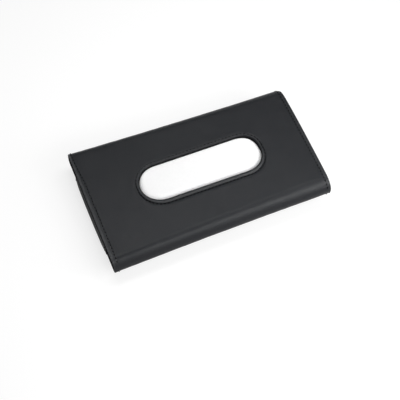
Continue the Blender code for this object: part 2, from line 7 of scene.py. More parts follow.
import bmesh
import bpy
import numpy as np
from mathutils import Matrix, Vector


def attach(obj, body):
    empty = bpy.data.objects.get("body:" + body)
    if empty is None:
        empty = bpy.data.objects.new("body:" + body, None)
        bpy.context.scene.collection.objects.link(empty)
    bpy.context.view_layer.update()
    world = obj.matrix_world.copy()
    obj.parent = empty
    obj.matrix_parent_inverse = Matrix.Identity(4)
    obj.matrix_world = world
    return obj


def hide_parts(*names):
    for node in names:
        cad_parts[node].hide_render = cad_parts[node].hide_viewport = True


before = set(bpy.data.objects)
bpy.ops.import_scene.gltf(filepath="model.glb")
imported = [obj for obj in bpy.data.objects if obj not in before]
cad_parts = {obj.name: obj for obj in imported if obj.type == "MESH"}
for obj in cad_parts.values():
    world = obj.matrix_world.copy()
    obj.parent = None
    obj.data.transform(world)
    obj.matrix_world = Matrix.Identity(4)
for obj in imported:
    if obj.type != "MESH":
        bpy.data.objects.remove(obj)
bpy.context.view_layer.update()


# Camera, lamps and floor

view = {
    "lens": 108.0,
    "sensor": 36.0,
    "azimuth": -21.549,
    "elevation": 56.611,
    "distance": 1.184685,
    "target": (-0.006545, -0.021465, 0.0103),
}

studio = {
    "floorSize": 5.0,
    "floorColour": (0.35, 0.35, 0.35),
    "floorGlow": 0.72,
    "floorMirrored": 0.35,
    "ambient": 0.18,
    "horizon": (0.20, 0.45),
    "lamps": {
        "overheadRight": {"place": (0.220, 0.097, 0.574), "size": (0.25, 0.25), "watts": 0.78,
                          "aim": (0, -0.03, 0.03)},
        "overheadLeft": {"place": (-0.070, 0.163, 0.594), "size": (0.25, 0.25), "watts": 0.95,
                         "aim": (0, -0.03, 0.03)},
        "backSoftbox": {"place": (0.190, 0.470, 1.108), "size": (0.45, 0.45), "watts": 0.6},
        "nearRightCard": {"place": (0.32, -0.265, 0.26), "size": (0.20, 0.32), "watts": 1.18, "aim": (0, 0, 0.03)},
        "nearFrontCard": {"place": (0.05, -0.40, 0.30), "size": (0.40, 0.15), "watts": 0.89, "aim": (0, 0, 0.03)},
    },
}


def placeCamera():
    # The eye stands off the target along a direction given by its azimuth and elevation.
    turn, rise = math.radians(view["azimuth"]), math.radians(view["elevation"])
    toward = Vector((math.sin(turn) * math.cos(rise), -math.cos(turn) * math.cos(rise), math.sin(rise)))
    lens = bpy.data.cameras.new("photoView")
    lens.lens, lens.sensor_width = view["lens"], view["sensor"]
    lens.clip_start, lens.clip_end = 0.05, 50.0
    eye = bpy.data.objects.new("photoView", lens)
    eye.location = Vector(view["target"]) + toward * view["distance"]
    eye.rotation_euler = (-toward).to_track_quat("-Z", "Y").to_euler()
    bpy.context.scene.collection.objects.link(eye)
    bpy.context.scene.camera = eye


def addNode(tree, kind, inputs=None, **settings):
    # One shader node: settings go on the node, inputs take a number, a colour or another node's socket.
    made = tree.nodes.new(kind)
    for name, value in settings.items():
        setattr(made, name, value)
    for name, value in (inputs or {}).items():
        if isinstance(value, bpy.types.NodeSocket):
            tree.links.new(value, made.inputs[name])
        else:
            made.inputs[name].default_value = value
    return made


def seenDirectly(tree, mirrored=1.0):
    # 1 where the eye or a clear piece looks at the background, and the given share where a reflection does.
    path = addNode(tree, "ShaderNodeLightPath")
    first = addNode(tree, "ShaderNodeMath", {0: path.outputs["Is Glossy Ray"], 1: mirrored,
                                             2: path.outputs["Is Camera Ray"]}, operation="MULTIPLY_ADD")
    both = addNode(tree, "ShaderNodeMath", {0: first.outputs[0], 1: path.outputs["Is Transmission Ray"]},
                   operation="ADD", use_clamp=True)
    return both.outputs[0]


def lightWorld():
    world = bpy.data.worlds.new("studioAir")
    world.use_nodes = True
    tree = world.node_tree
    tree.nodes.clear()
    # Reflections see a white wall round the horizon that fades into a dim ceiling.
    ray = addNode(tree, "ShaderNodeSeparateXYZ", {"Vector": addNode(tree, "ShaderNodeTexCoord").outputs["Generated"]})
    low, high = studio["horizon"]
    wall = addNode(tree, "ShaderNodeMapRange", {
        "Value": ray.outputs["Z"], "From Min": low, "From Max": high, "To Min": 1.0, "To Max": 0.0})
    seen = seenDirectly(tree, wall.outputs["Result"])
    glossy = addNode(tree, "ShaderNodeLightPath").outputs["Is Glossy Ray"]
    dim = addNode(tree, "ShaderNodeMath", {0: glossy, 1: -studio["ambient"], 2: studio["ambient"]},
                  operation="MULTIPLY_ADD")
    level = addNode(tree, "ShaderNodeMix", {0: seen, 2: dim.outputs[0], 3: 1.0}, data_type="FLOAT")
    air = addNode(tree, "ShaderNodeBackground", {"Color": (1, 1, 1, 1), "Strength": level.outputs[0]})
    addNode(tree, "ShaderNodeOutputWorld", {"Surface": air.outputs[0]})
    bpy.context.scene.world = world


def addLamps():
    for name, lamp in studio["lamps"].items():
        light = bpy.data.lights.new(name, "AREA")
        light.shape = "RECTANGLE"
        light.size, light.size_y = lamp["size"]
        light.energy = lamp["watts"]
        made = bpy.data.objects.new(name, light)
        made.location = lamp["place"]
        aim = Vector(lamp.get("aim", (0, 0, 0.02))) - made.location
        made.rotation_euler = aim.to_track_quat("-Z", "Y").to_euler()
        bpy.context.scene.collection.objects.link(made)


def layFloor():
    # A plain pale floor, clear from below so that the clips can be looked at.
    half = studio["floorSize"] / 2
    mesh = bpy.data.meshes.new("paleFloor")
    mesh.from_pydata([(-half, -half, 0), (half, -half, 0), (half, half, 0), (-half, half, 0)], [], [(0, 1, 2, 3)])
    paint = bpy.data.materials.new("paleFloor")
    paint.use_nodes = True
    tree = paint.node_tree
    tree.nodes.clear()
    matte = addNode(tree, "ShaderNodeBsdfDiffuse", {"Color": (*studio["floorColour"], 1)})
    glowLevel = addNode(tree, "ShaderNodeMath", {0: seenDirectly(tree, studio["floorMirrored"]), 1: studio["floorGlow"]}, operation="MULTIPLY")
    glow = addNode(tree, "ShaderNodeEmission", {"Color": (1, 1, 1, 1), "Strength": glowLevel.outputs[0]})
    lit = addNode(tree, "ShaderNodeAddShader", {0: matte.outputs[0], 1: glow.outputs[0]})
    side = addNode(tree, "ShaderNodeNewGeometry")
    clear = addNode(tree, "ShaderNodeBsdfTransparent")
    both = addNode(tree, "ShaderNodeMixShader", {0: side.outputs["Backfacing"], 1: lit.outputs[0], 2: clear.outputs[0]})
    addNode(tree, "ShaderNodeOutputMaterial", {"Surface": both.outputs[0]})
    mesh.materials.append(paint)
    floor = bpy.data.objects.new("paleFloor", mesh)
    bpy.context.scene.collection.objects.link(floor)


bpy.context.scene.view_settings.view_transform = "Standard"
placeCamera()
lightWorld()
addLamps()
layFloor()
print("camera, lamps and floor are up")


# Finishes

finish = {
    "leather": {
        # the second colour is lighter: it stands for wear and for painted highlights
        "colour": (0.0066, 0.0080, 0.0112), "wornAndLitColour": (0.054, 0.056, 0.060),
        "grain": 0.00065, "grainDepth": 0.00007, "roughness": 0.28, "gloss": 0.35,
    },
    "backing": {"colour": (0.009, 0.009, 0.010), "pitch": 0.0007, "depth": 0.00008, "roughness": 0.92},
    "thread": {"colour": (0.0012, 0.0012, 0.0014), "roughness": 0.80},
    "card": {"colour": (0.030, 0.029, 0.028), "fleckColour": (0.070, 0.068, 0.065), "roughness": 0.88},
    "cloth": {"colour": (0.018, 0.018, 0.020), "pitch": 0.00055, "depth": 0.00010, "roughness": 0.90},
    "tissue": {"colour": (0.96, 0.96, 0.96), "roughness": 0.95, "crinkle": 0.00006},
    "steel": {"colour": (0.60, 0.61, 0.63), "roughness": 0.30, "lines": (2600.0, 60.0, 60.0)},
    "magnet": {"colour": (0.50, 0.50, 0.52), "roughness": 0.26, "lines": (420.0, 420.0, 420.0)},
}


def newGroup(name, inputs, outputs):
    # A shader node group with named sockets, and its two end nodes.
    group = bpy.data.node_groups.new(name, "ShaderNodeTree")
    for label, kind, value in inputs:
        socket = group.interface.new_socket(name=label, in_out="INPUT", socket_type="NodeSocket" + kind)
        if value is not None:
            socket.default_value = value
    for label, kind in outputs:
        group.interface.new_socket(name=label, in_out="OUTPUT", socket_type="NodeSocket" + kind)
    return group, group.nodes.new("NodeGroupInput"), group.nodes.new("NodeGroupOutput")


def useGroup(tree, group, inputs):
    made = tree.nodes.new("ShaderNodeGroup")
    made.node_tree = group
    for name, value in inputs.items():
        if isinstance(value, bpy.types.NodeSocket):
            tree.links.new(value, made.inputs[name])
        else:
            made.inputs[name].default_value = value
    return made


def math2(tree, operation, first, second=0.0, third=None, clamp=False):
    inputs = {0: first, 1: second}
    if third is not None:
        inputs[2] = third
    return addNode(tree, "ShaderNodeMath", inputs, operation=operation, use_clamp=clamp).outputs[0]


def mapped(tree, value, low, high, newLow, newHigh):
    made = addNode(tree, "ShaderNodeMapRange", {
        "Value": value, "From Min": low, "From Max": high, "To Min": newLow, "To Max": newHigh})
    return made.outputs["Result"]


def mixed(tree, share, first, second):
    made = addNode(tree, "ShaderNodeMix", data_type="RGBA")
    for index, value in ((0, share), (6, first), (7, second)):
        if isinstance(value, bpy.types.NodeSocket):
            tree.links.new(value, made.inputs[index])
        else:
            made.inputs[index].default_value = value
    return made.outputs[2]


def makeLeatherGrain():
    # Pebbles between fine creases, pores, and slow mottling; places marked for wear and painted highlight are lighter
    # and smoother.
    group, start, end = newGroup(
        "leatherGrain",
        [("Colour", "Color", (0.02, 0.02, 0.02, 1)), ("Worn And Lit Colour", "Color", (0.05, 0.05, 0.05, 1)),
         ("Wear And Highlight", "Float", 0.0), ("Pebbles Per Metre", "Float", 1500.0), ("Depth", "Float", 0.00006),
         ("Roughness", "Float", 0.5)],
        [("Colour", "Color"), ("Roughness", "Float"), ("Normal", "Vector")],
    )
    where = addNode(group, "ShaderNodeTexCoord").outputs["Object"]
    wobble = addNode(group, "ShaderNodeTexNoise", {"Vector": where, "Scale": 900.0, "Detail": 2.0})
    bent = addNode(group, "ShaderNodeMix", {0: 0.0004, 4: where, 5: wobble.outputs["Color"]}, data_type="VECTOR")
    pebbles = addNode(group, "ShaderNodeTexVoronoi", {
        "Vector": bent.outputs[1], "Scale": start.outputs["Pebbles Per Metre"]}, feature="DISTANCE_TO_EDGE")
    crease = mapped(group, pebbles.outputs["Distance"], 0.0, 0.22, 0.0, 1.0)
    pores = addNode(group, "ShaderNodeTexNoise", {"Vector": where, "Scale": 5200.0, "Detail": 3.0})
    height = math2(group, "MULTIPLY_ADD", pores.outputs["Fac"], 0.35, crease)
    bump = addNode(group, "ShaderNodeBump", {
        "Height": height, "Distance": start.outputs["Depth"], "Strength": 0.8})
    mottle = addNode(group, "ShaderNodeTexNoise", {"Vector": where, "Scale": 32.0, "Detail": 4.0})
    cloudy = mapped(group, mottle.outputs["Fac"], 0.3, 0.7, 0.0, 0.06)
    # mixing towards the lighter colour paints highlights as well as wear
    wearHighlightAndMottle = math2(group, "MULTIPLY_ADD", start.outputs["Wear And Highlight"], 0.9, cloudy, clamp=True)
    # the creases between pebbles are painted darker: painted shade
    creaseShade = math2(group, "MULTIPLY_ADD", crease, 0.25, 0.75)
    base = mixed(group, wearHighlightAndMottle, start.outputs["Colour"], start.outputs["Worn And Lit Colour"])
    shaded = addNode(group, "ShaderNodeHueSaturation", {"Color": base, "Value": creaseShade})
    rough = math2(group, "MULTIPLY_ADD", mottle.outputs["Fac"], 0.10, start.outputs["Roughness"])
    smoother = math2(group, "MULTIPLY_ADD", start.outputs["Wear And Highlight"], -0.08, rough)
    for name, socket in (("Colour", shaded.outputs[0]), ("Roughness", smoother), ("Normal", bump.outputs[0])):
        group.links.new(socket, end.inputs[name])
    return group


def makeThreadWeave():
    # Plain weave: warp and weft ridges that take turns over each other, cell by cell.
    group, start, end = newGroup(
        "threadWeave",
        [("Colour", "Color", (0.02, 0.02, 0.02, 1)), ("Threads Per Metre", "Float", 1800.0),
         ("Depth", "Float", 0.0001), ("Roughness", "Float", 0.9)],
        [("Colour", "Color"), ("Roughness", "Float"), ("Normal", "Vector")],
    )
    where = addNode(group, "ShaderNodeTexCoord").outputs["Object"]
    count = start.outputs["Threads Per Metre"]
    waveScale = math2(group, "MULTIPLY", count, math.pi / 20)
    ridges = []
    for direction in ("X", "Y"):
        wave = addNode(group, "ShaderNodeTexWave", {"Vector": where, "Scale": waveScale},
                       wave_type="BANDS", bands_direction=direction)
        ridges.append(wave.outputs["Fac"])
    turns = addNode(group, "ShaderNodeTexChecker", {"Vector": where, "Scale": count})
    height = addNode(group, "ShaderNodeMix", {0: turns.outputs["Fac"], 2: ridges[0], 3: ridges[1]}, data_type="FLOAT")
    fuzz = addNode(group, "ShaderNodeTexNoise", {"Vector": where, "Scale": 6000.0, "Detail": 2.0})
    top = math2(group, "MULTIPLY_ADD", fuzz.outputs["Fac"], 0.4, height.outputs[0])
    bump = addNode(group, "ShaderNodeBump", {"Height": top, "Distance": start.outputs["Depth"], "Strength": 0.9})
    # the low places between threads are painted darker: painted shade
    shade = math2(group, "MULTIPLY_ADD", height.outputs[0], 0.55, 0.60)
    colour = addNode(group, "ShaderNodeHueSaturation", {"Color": start.outputs["Colour"], "Value": shade})
    rough = math2(group, "MULTIPLY_ADD", fuzz.outputs["Fac"], 0.06, start.outputs["Roughness"])
    for name, socket in (("Colour", colour.outputs[0]), ("Roughness", rough), ("Normal", bump.outputs[0])):
        group.links.new(socket, end.inputs[name])
    return group


def makeBrushedLines():
    # Fine lines drawn out along the metal, with faint stains.
    group, start, end = newGroup(
        "brushedLines",
        [("Colour", "Color", (0.6, 0.6, 0.6, 1)), ("Lines", "Vector", (2000.0, 60.0, 60.0)),
         ("Roughness", "Float", 0.3)],
        [("Colour", "Color"), ("Roughness", "Float"), ("Normal", "Vector")],
    )
    where = addNode(group, "ShaderNodeTexCoord").outputs["Object"]
    drawn = addNode(group, "ShaderNodeMapping", {"Vector": where, "Scale": start.outputs["Lines"]})
    lines = addNode(group, "ShaderNodeTexNoise", {"Vector": drawn.outputs[0], "Scale": 1.0, "Detail": 4.0})
    stains = addNode(group, "ShaderNodeTexNoise", {"Vector": where, "Scale": 90.0, "Detail": 3.0})
    rough = math2(group, "MULTIPLY_ADD", lines.outputs["Fac"], 0.16, start.outputs["Roughness"])
    dull = math2(group, "MULTIPLY_ADD", stains.outputs["Fac"], 0.10, rough)
    shade = math2(group, "MULTIPLY_ADD", stains.outputs["Fac"], 0.24, 0.88)
    colour = addNode(group, "ShaderNodeHueSaturation", {"Color": start.outputs["Colour"], "Value": shade})
    bump = addNode(group, "ShaderNodeBump", {"Height": lines.outputs["Fac"], "Distance": 0.000006, "Strength": 0.6})
    for name, socket in (("Colour", colour.outputs[0]), ("Roughness", dull), ("Normal", bump.outputs[0])):
        group.links.new(socket, end.inputs[name])
    return group


def shaderFor(name):
    made = bpy.data.materials.new(name)
    made.use_nodes = True
    return made, made.node_tree, made.node_tree.nodes["Principled BSDF"]


def takeFrom(tree, shader, source):
    # Colour, roughness and normal of a group go to the shader.
    for name, target in (("Colour", "Base Color"), ("Roughness", "Roughness"), ("Normal", "Normal")):
        tree.links.new(source.outputs[name], shader.inputs[target])


leatherGrain = makeLeatherGrain()
threadWeave = makeThreadWeave()
brushedLines = makeBrushedLines()


def makeLeather(name, wornAndLit=True):
    look = finish["leather"]
    made, tree, shader = shaderFor(name)
    # the attribute read here lightens the leather: partly wear, partly a painted highlight on the lips, the bead and
    # the closed end's near half
    wearAndHighlight = addNode(tree, "ShaderNodeAttribute", attribute_name="wearAndHighlight").outputs["Fac"] if wornAndLit else 0.0
    grain = useGroup(tree, leatherGrain, {
        "Colour": (*look["colour"], 1), "Worn And Lit Colour": (*look["wornAndLitColour"], 1), "Wear And Highlight": wearAndHighlight,
        "Pebbles Per Metre": 1 / look["grain"], "Depth": look["grainDepth"], "Roughness": look["roughness"]})
    takeFrom(tree, shader, grain)
    shader.inputs["Specular IOR Level"].default_value = look["gloss"]
    return made


def makeCloth(name, look, sheen):
    made, tree, shader = shaderFor(name)
    weave = useGroup(tree, threadWeave, {
        "Colour": (*look["colour"], 1), "Threads Per Metre": 1 / look["pitch"],
        "Depth": look["depth"], "Roughness": look["roughness"]})
    takeFrom(tree, shader, weave)
    shader.inputs["Sheen Weight"].default_value = sheen
    shader.inputs["Sheen Roughness"].default_value = 0.6
    shader.inputs["Specular IOR Level"].default_value = 0.2
    return made


def makeMetal(name, look):
    made, tree, shader = shaderFor(name)
    lines = useGroup(tree, brushedLines, {
        "Colour": (*look["colour"], 1), "Lines": look["lines"], "Roughness": look["roughness"]})
    takeFrom(tree, shader, lines)
    shader.inputs["Metallic"].default_value = 1.0
    return made


def makeThread():
    # Twisted polyester: slanting strands across the stitch.
    look = finish["thread"]
    made, tree, shader = shaderFor("blackThread")
    where = addNode(tree, "ShaderNodeTexCoord").outputs["Object"]
    twist = addNode(tree, "ShaderNodeTexWave", {"Vector": where, "Scale": 900.0, "Distortion": 0.6},
                    wave_type="BANDS", bands_direction="DIAGONAL")
    bump = addNode(tree, "ShaderNodeBump", {"Height": twist.outputs["Fac"], "Distance": 0.00006, "Strength": 0.7})
    lighter = (*[3 * c for c in look["colour"]], 1)
    colour = mixed(tree, twist.outputs["Fac"], (*look["colour"], 1), lighter)
    tree.links.new(colour, shader.inputs["Base Color"])
    tree.links.new(bump.outputs[0], shader.inputs["Normal"])
    shader.inputs["Roughness"].default_value = look["roughness"]
    shader.inputs["Specular IOR Level"].default_value = 0.12
    return made


def makeCard():
    # Pressed grey card: fibres and dark flecks.
    look = finish["card"]
    made, tree, shader = shaderFor("greyCard")
    where = addNode(tree, "ShaderNodeTexCoord").outputs["Object"]
    fibres = addNode(tree, "ShaderNodeTexNoise", {"Vector": where, "Scale": 700.0, "Detail": 5.0})
    flecks = addNode(tree, "ShaderNodeTexNoise", {"Vector": where, "Scale": 160.0, "Detail": 2.0})
    fleck = mapped(tree, flecks.outputs["Fac"], 0.62, 0.70, 0.0, 1.0)
    colour = mixed(tree, fleck, (*look["colour"], 1), (*look["fleckColour"], 1))
    bump = addNode(tree, "ShaderNodeBump", {"Height": fibres.outputs["Fac"], "Distance": 0.00008, "Strength": 0.6})
    tree.links.new(colour, shader.inputs["Base Color"])
    tree.links.new(bump.outputs[0], shader.inputs["Normal"])
    shader.inputs["Roughness"].default_value = look["roughness"]
    return made


def makeTissue():
    # Soft paper: crinkles and pressed dots, with the crinkles' low places painted a little darker as painted shade.
    look = finish["tissue"]
    made, tree, shader = shaderFor("tissuePaper")
    where = addNode(tree, "ShaderNodeTexCoord").outputs["Object"]
    crinkles = addNode(tree, "ShaderNodeTexNoise", {"Vector": where, "Scale": 420.0, "Detail": 4.0})
    dots = addNode(tree, "ShaderNodeTexVoronoi", {"Vector": where, "Scale": 900.0})
    height = math2(tree, "MULTIPLY_ADD", dots.outputs["Distance"], 0.3, crinkles.outputs["Fac"])
    bump = addNode(tree, "ShaderNodeBump", {"Height": height, "Distance": look["crinkle"], "Strength": 0.5})
    shade = mapped(tree, crinkles.outputs["Fac"], 0.3, 0.7, 0.97, 1.0)
    colour = addNode(tree, "ShaderNodeHueSaturation", {"Color": (*look["colour"], 1), "Value": shade})
    tree.links.new(colour.outputs[0], shader.inputs["Base Color"])
    tree.links.new(bump.outputs[0], shader.inputs["Normal"])
    shader.inputs["Roughness"].default_value = look["roughness"]
    shader.inputs["Specular IOR Level"].default_value = 0.15
    return made


blackLeather = makeLeather("blackLeather")
plainLeather = makeLeather("plainLeather", wornAndLit=False)
backingAndPaintedShade = makeCloth("backingAndPaintedShade", finish["backing"], 0.0)
blackCloth = makeCloth("blackCloth", finish["cloth"], 0.35)
blackThread = makeThread()
greyCard = makeCard()
tissuePaper = makeTissue()
springSteel = makeMetal("springSteel", finish["steel"])
magnetPlate = makeMetal("magnetPlate", finish["magnet"])
print("finishes are mixed")


# Meshes from numpy grids

def gridFaces(rows, columns, wrap=False):
    # Quads of a grid stored row by row; wrap joins the last column to the first.
    r = np.arange(rows - 1)[:, None]
    c = np.arange(columns if wrap else columns - 1)[None, :]
    following = (c + 1) % columns
    return np.stack([r * columns + c, (r + 1) * columns + c, (r + 1) * columns + following,
                     r * columns + following], -1).reshape(-1, 4)


def blend(first, second, share):
    return first + (second - first) * share


def smoothStep(low, high, value):
    t = np.clip((value - low) / (high - low), 0, 1)
    return t * t * (3 - 2 * t)


def hump(value, centre, width):
    return np.exp(-((value - centre) / width) ** 2)


def softNoise(points, wavelength, seed, waves=14):
    # Smooth seeded unevenness about 0: a sum of sine waves in random directions near one wavelength.
    rng = np.random.default_rng(seed)
    directions = rng.normal(size=(waves, 3))
    directions /= np.linalg.norm(directions, axis=1, keepdims=True)
    pace = 2 * np.pi / wavelength * rng.uniform(0.6, 1.5, waves)
    phase = rng.uniform(0, 2 * np.pi, waves)
    swing = points @ (directions * pace[:, None]).T + phase
    return np.sin(swing).sum(-1) / math.sqrt(waves / 2) / 2


def signedVolume(points, faces):
    # Six times the volume, from the tetrahedra between the origin and each quad's two halves.
    quads = np.array([f for f in faces if len(f) == 4])
    a, b, c, d = (points[quads[:, k]] for k in range(4))
    return (np.cross(a, b) * c).sum() + (np.cross(a, c) * d).sum()


def addPiece(name, points, faces, material, body, stands=(), attributes=None, angle=40, merge=1e-6,
             closed=False):
    # Puts points and faces into a mesh, welds coinciding points, shades it and lets it ride on a body.
    # The faces of a closed piece are turned to point outwards if their signed volume is negative.
    points = np.asarray(points, float).reshape(-1, 3)
    if closed and signedVolume(points, faces) < 0:
        faces = [f[::-1] for f in faces]
    mesh = bpy.data.meshes.new(name)
    mesh.from_pydata(points.tolist(), [], [f.tolist() if isinstance(f, np.ndarray) else f for f in faces])
    for label, values in (attributes or {}).items():
        mesh.attributes.new(label, "FLOAT", "POINT").data.foreach_set("value", np.ravel(values).astype(np.float32))
    shape = bmesh.new()
    shape.from_mesh(mesh)
    bmesh.ops.remove_doubles(shape, verts=shape.verts, dist=merge)
    bmesh.ops.delete(shape, geom=[v for v in shape.verts if not v.link_faces], context="VERTS")
    shape.to_mesh(mesh)
    shape.free()
    mesh.shade_smooth()
    mesh.set_sharp_from_angle(angle=math.radians(angle))
    mesh.materials.append(material)
    piece = bpy.data.objects.new(name, mesh)
    bpy.context.scene.collection.objects.link(piece)
    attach(piece, body)
    if stands:
        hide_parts(*stands)
    return piece


def giveThickness(piece, thickness, innerMaterial=None, shares=None):
    # A skin behind the outer face, with its own backing if there is one, thinned where shares are under 1.
    skin = piece.modifiers.new("thickness", "SOLIDIFY")
    skin.thickness, skin.offset = thickness, -1.0
    skin.use_rim = True
    if shares is not None:
        group = piece.vertex_groups.new(name="thickness")
        for index, share in enumerate(np.ravel(shares).tolist()):
            group.add([index], share, "REPLACE")
        skin.vertex_group = group.name
    if innerMaterial:
        piece.data.materials.append(innerMaterial)
        skin.material_offset = 1
    return skin


# The sleeve's outer skin: where it lies at a place x along it and v round it.
# v runs 0-1 over the front, 1-3 round the far fold, 3-4 over the back, 4-6 round the near fold.

sleeve = {
    "mouthX": -0.11255, "length": 0.2262, "bottom": 0.0103, "leather": 0.0014,
    "width": (0.1420, 0.1313), "waist": 0.0018, "thickness": (0.018, 0.024),
    "foldRise": (0.0055, 0.012), "foldOver": (0.0085, 0.012), "foldUnder": (0.0050, 0.012),
    "lipReach": 0.0008, "lipFade": 0.020, "bow": 0.0010, "farOffset": 0.0007, "nearFlare": 0.0010, "cornerReach": 0.008, "cornerDrop": (0.0006, 0.0026),
}
opening = {"centre": (0.00305, 0.00015), "length": 0.1266, "width": 0.0427,
           "swell": (0.0007, 0.0014), "narrower": 0.36, "nearWider": 0.32}
hem = {"seam": 0.0047, "farShift": 0.0020, "raise": 0.00020, "lip": 0.0007, "groove": 0.00012, "grooveWidth": 0.00050,
       "sewnTo": 0.60}
closedSeam = {"seam": 0.0042, "lip": 0.0009, "groove": 0.00013, "grooveWidth": 0.00050, "puff": 0.00016,
              "sewnTo": 0.72}
stitch = {"pitch": 0.0038, "length": 0.0024, "radius": 0.00045, "sink": 0.00022, "slant": 0.10}

closedX = sleeve["mouthX"] + sleeve["length"]
openingRadius = opening["width"] / 2
openingReach = opening["length"] / 2 - openingRadius
openingCentre = np.array(opening["centre"])


def along(x):
    return (x - sleeve["mouthX"]) / sleeve["length"]


def sized(name, x):
    return blend(*sleeve[name], along(x))


def halfWidth(x, side):
    # Taper with a slight waist; near the closed end it drops by a quarter ellipse, more on the far side.
    share = along(x)
    reach = np.clip(1 - (closedX - x) / sleeve["cornerReach"], 0, 1)
    near, far = sleeve["cornerDrop"]
    drop = np.where(side > 0, far, near) * (1 - np.sqrt(1 - reach ** 2))
    return sized("width", x) / 2 - sleeve["waist"] * 2 * share * (1 - share) - drop


def sectionAt(x, v):
    # Across the sleeve: a flat front, two quarter ellipses down the fold, a flat back, and the mirror image.
    part, t = np.divmod(np.mod(v, 6), 1)
    side = np.where((part >= 1) & (part < 3), 1.0, -1.0)
    side = np.where(part == 0, np.sign(t - 0.5), np.where(part == 3, np.sign(0.5 - t), side))
    half, over, under = halfWidth(x, side), sized("foldOver", x), sized("foldUnder", x)
    rise, top = sized("foldRise", x), sized("thickness", x)
    sin, cos = np.sin(t * np.pi / 2), np.cos(t * np.pi / 2)
    front, back = half - over, half - under
    which = [part == k for k in range(6)]
    y = np.select(which, [front * (2 * t - 1), front + over * sin, back + under * cos,
                          back * (1 - 2 * t), -back - under * sin, -front - over * cos])
    height = np.select(which, [top, rise + (top - rise) * cos, rise - rise * sin,
                               0 * t, rise - rise * cos, rise + (top - rise) * sin])
    return y, height, half


def sleeveSkin(x, v):
    # The closed end bows out at mid width and more on the far side, its near fold flares, and all fades to the mouth.
    y, height, half = sectionAt(x, v)
    across = np.clip(y / half, -1, 1)
    out = sleeve["bow"] * (1 - across ** 2) + sleeve["farOffset"] * smoothStep(-0.5, 0.8, across)
    out = out + sleeve["nearFlare"] * (np.clip(-across - 0.8, 0, 1) / 0.2) ** 2
    return np.stack([x + out * along(x), y, sleeve["bottom"] + height], -1)


def skinNormal(x, v):
    # Cross product of the steps along x and round v.
    dx, dv = 1e-5, 1e-3
    lengthways = sleeveSkin(x + dx, v) - sleeveSkin(x - dx, v)
    round_ = sleeveSkin(x, v + dv) - sleeveSkin(x, v - dv)
    normal = np.cross(lengthways, round_)
    return normal / np.linalg.norm(normal, axis=-1, keepdims=True)


def frontV(x, y):
    # v of a place on the flat front.
    half = np.where(y > 0, halfWidth(x, 1.0), halfWidth(x, -1.0)) - sized("foldOver", x)
    return (y / half + 1) / 2


def capSwell(outward):
    # How far the opening's edge stands out of its half-round ends at their far corners.
    x, y = outward[..., 0], np.clip(outward[..., 1], 0, 1)
    return np.where(x > 0, opening["swell"][1], opening["swell"][0]) * (2 * x * y) ** 2


def beadShare(outward):
    # The bead is wider along the near side and narrower round the end on the closed side.
    wider = opening["nearWider"] * smoothStep(0, 1, -outward[..., 1])
    return 1 + wider - opening["narrower"] * np.clip(outward[..., 0], 0, 1) ** 2


def fromOpening(x, y):
    # Distance outside the opening's edge, and the direction in which it is measured.
    across = np.clip(x - openingCentre[0], -openingReach, openingReach)
    ray = np.stack([x - openingCentre[0] - across, y - openingCentre[1] + 0 * x], -1)
    far = np.linalg.norm(ray, axis=-1)
    outward = ray / np.maximum(far, 1e-9)[..., None]
    return far - openingRadius - capSwell(outward), outward


def roundLength(x):
    # Arc length round the sleeve against v, at one place along it.
    v = np.linspace(0, 6, 1201)
    steps = np.linalg.norm(np.diff(sleeveSkin(np.full_like(v, x), v), axis=0), axis=1)
    return v, np.concatenate([[0], np.cumsum(steps)])


def pinch(arc, length):
    # 1 at the needle holes of a seam of this length, 0 midway between them.
    count = round(length / stitch["pitch"])
    return 0.5 + 0.5 * np.cos(2 * np.pi * arc / length * count)


mouthV, mouthArc = roundLength(sleeve["mouthX"] + hem["seam"])
closedV, closedArc = roundLength(closedX - closedSeam["seam"])


def sewnAt(v, sewnTo):
    # 1 where an end is sewn, which is both faces and this share of a fold's first quarter; 0 on the rest of the folds.
    part, t = np.divmod(np.mod(v, 6), 1)
    round_ = np.select([(part == 1) | (part == 4), (part == 2) | (part == 5)], [t, 1 - t], 0.0)
    return 1 - smoothStep(sewnTo - 0.06, sewnTo + 0.06, round_)


def mouthSeamAt(v):
    # The mouth's seam runs nearer the edge at its far end.
    part, t = np.divmod(np.mod(v, 6), 1)
    return hem["seam"] - hem["farShift"] * np.select([part == 0, part == 1, part == 2],
                                                     [smoothStep(0.68, 1, t), 1.0, 1 - smoothStep(0, 1, t)], 0.0)


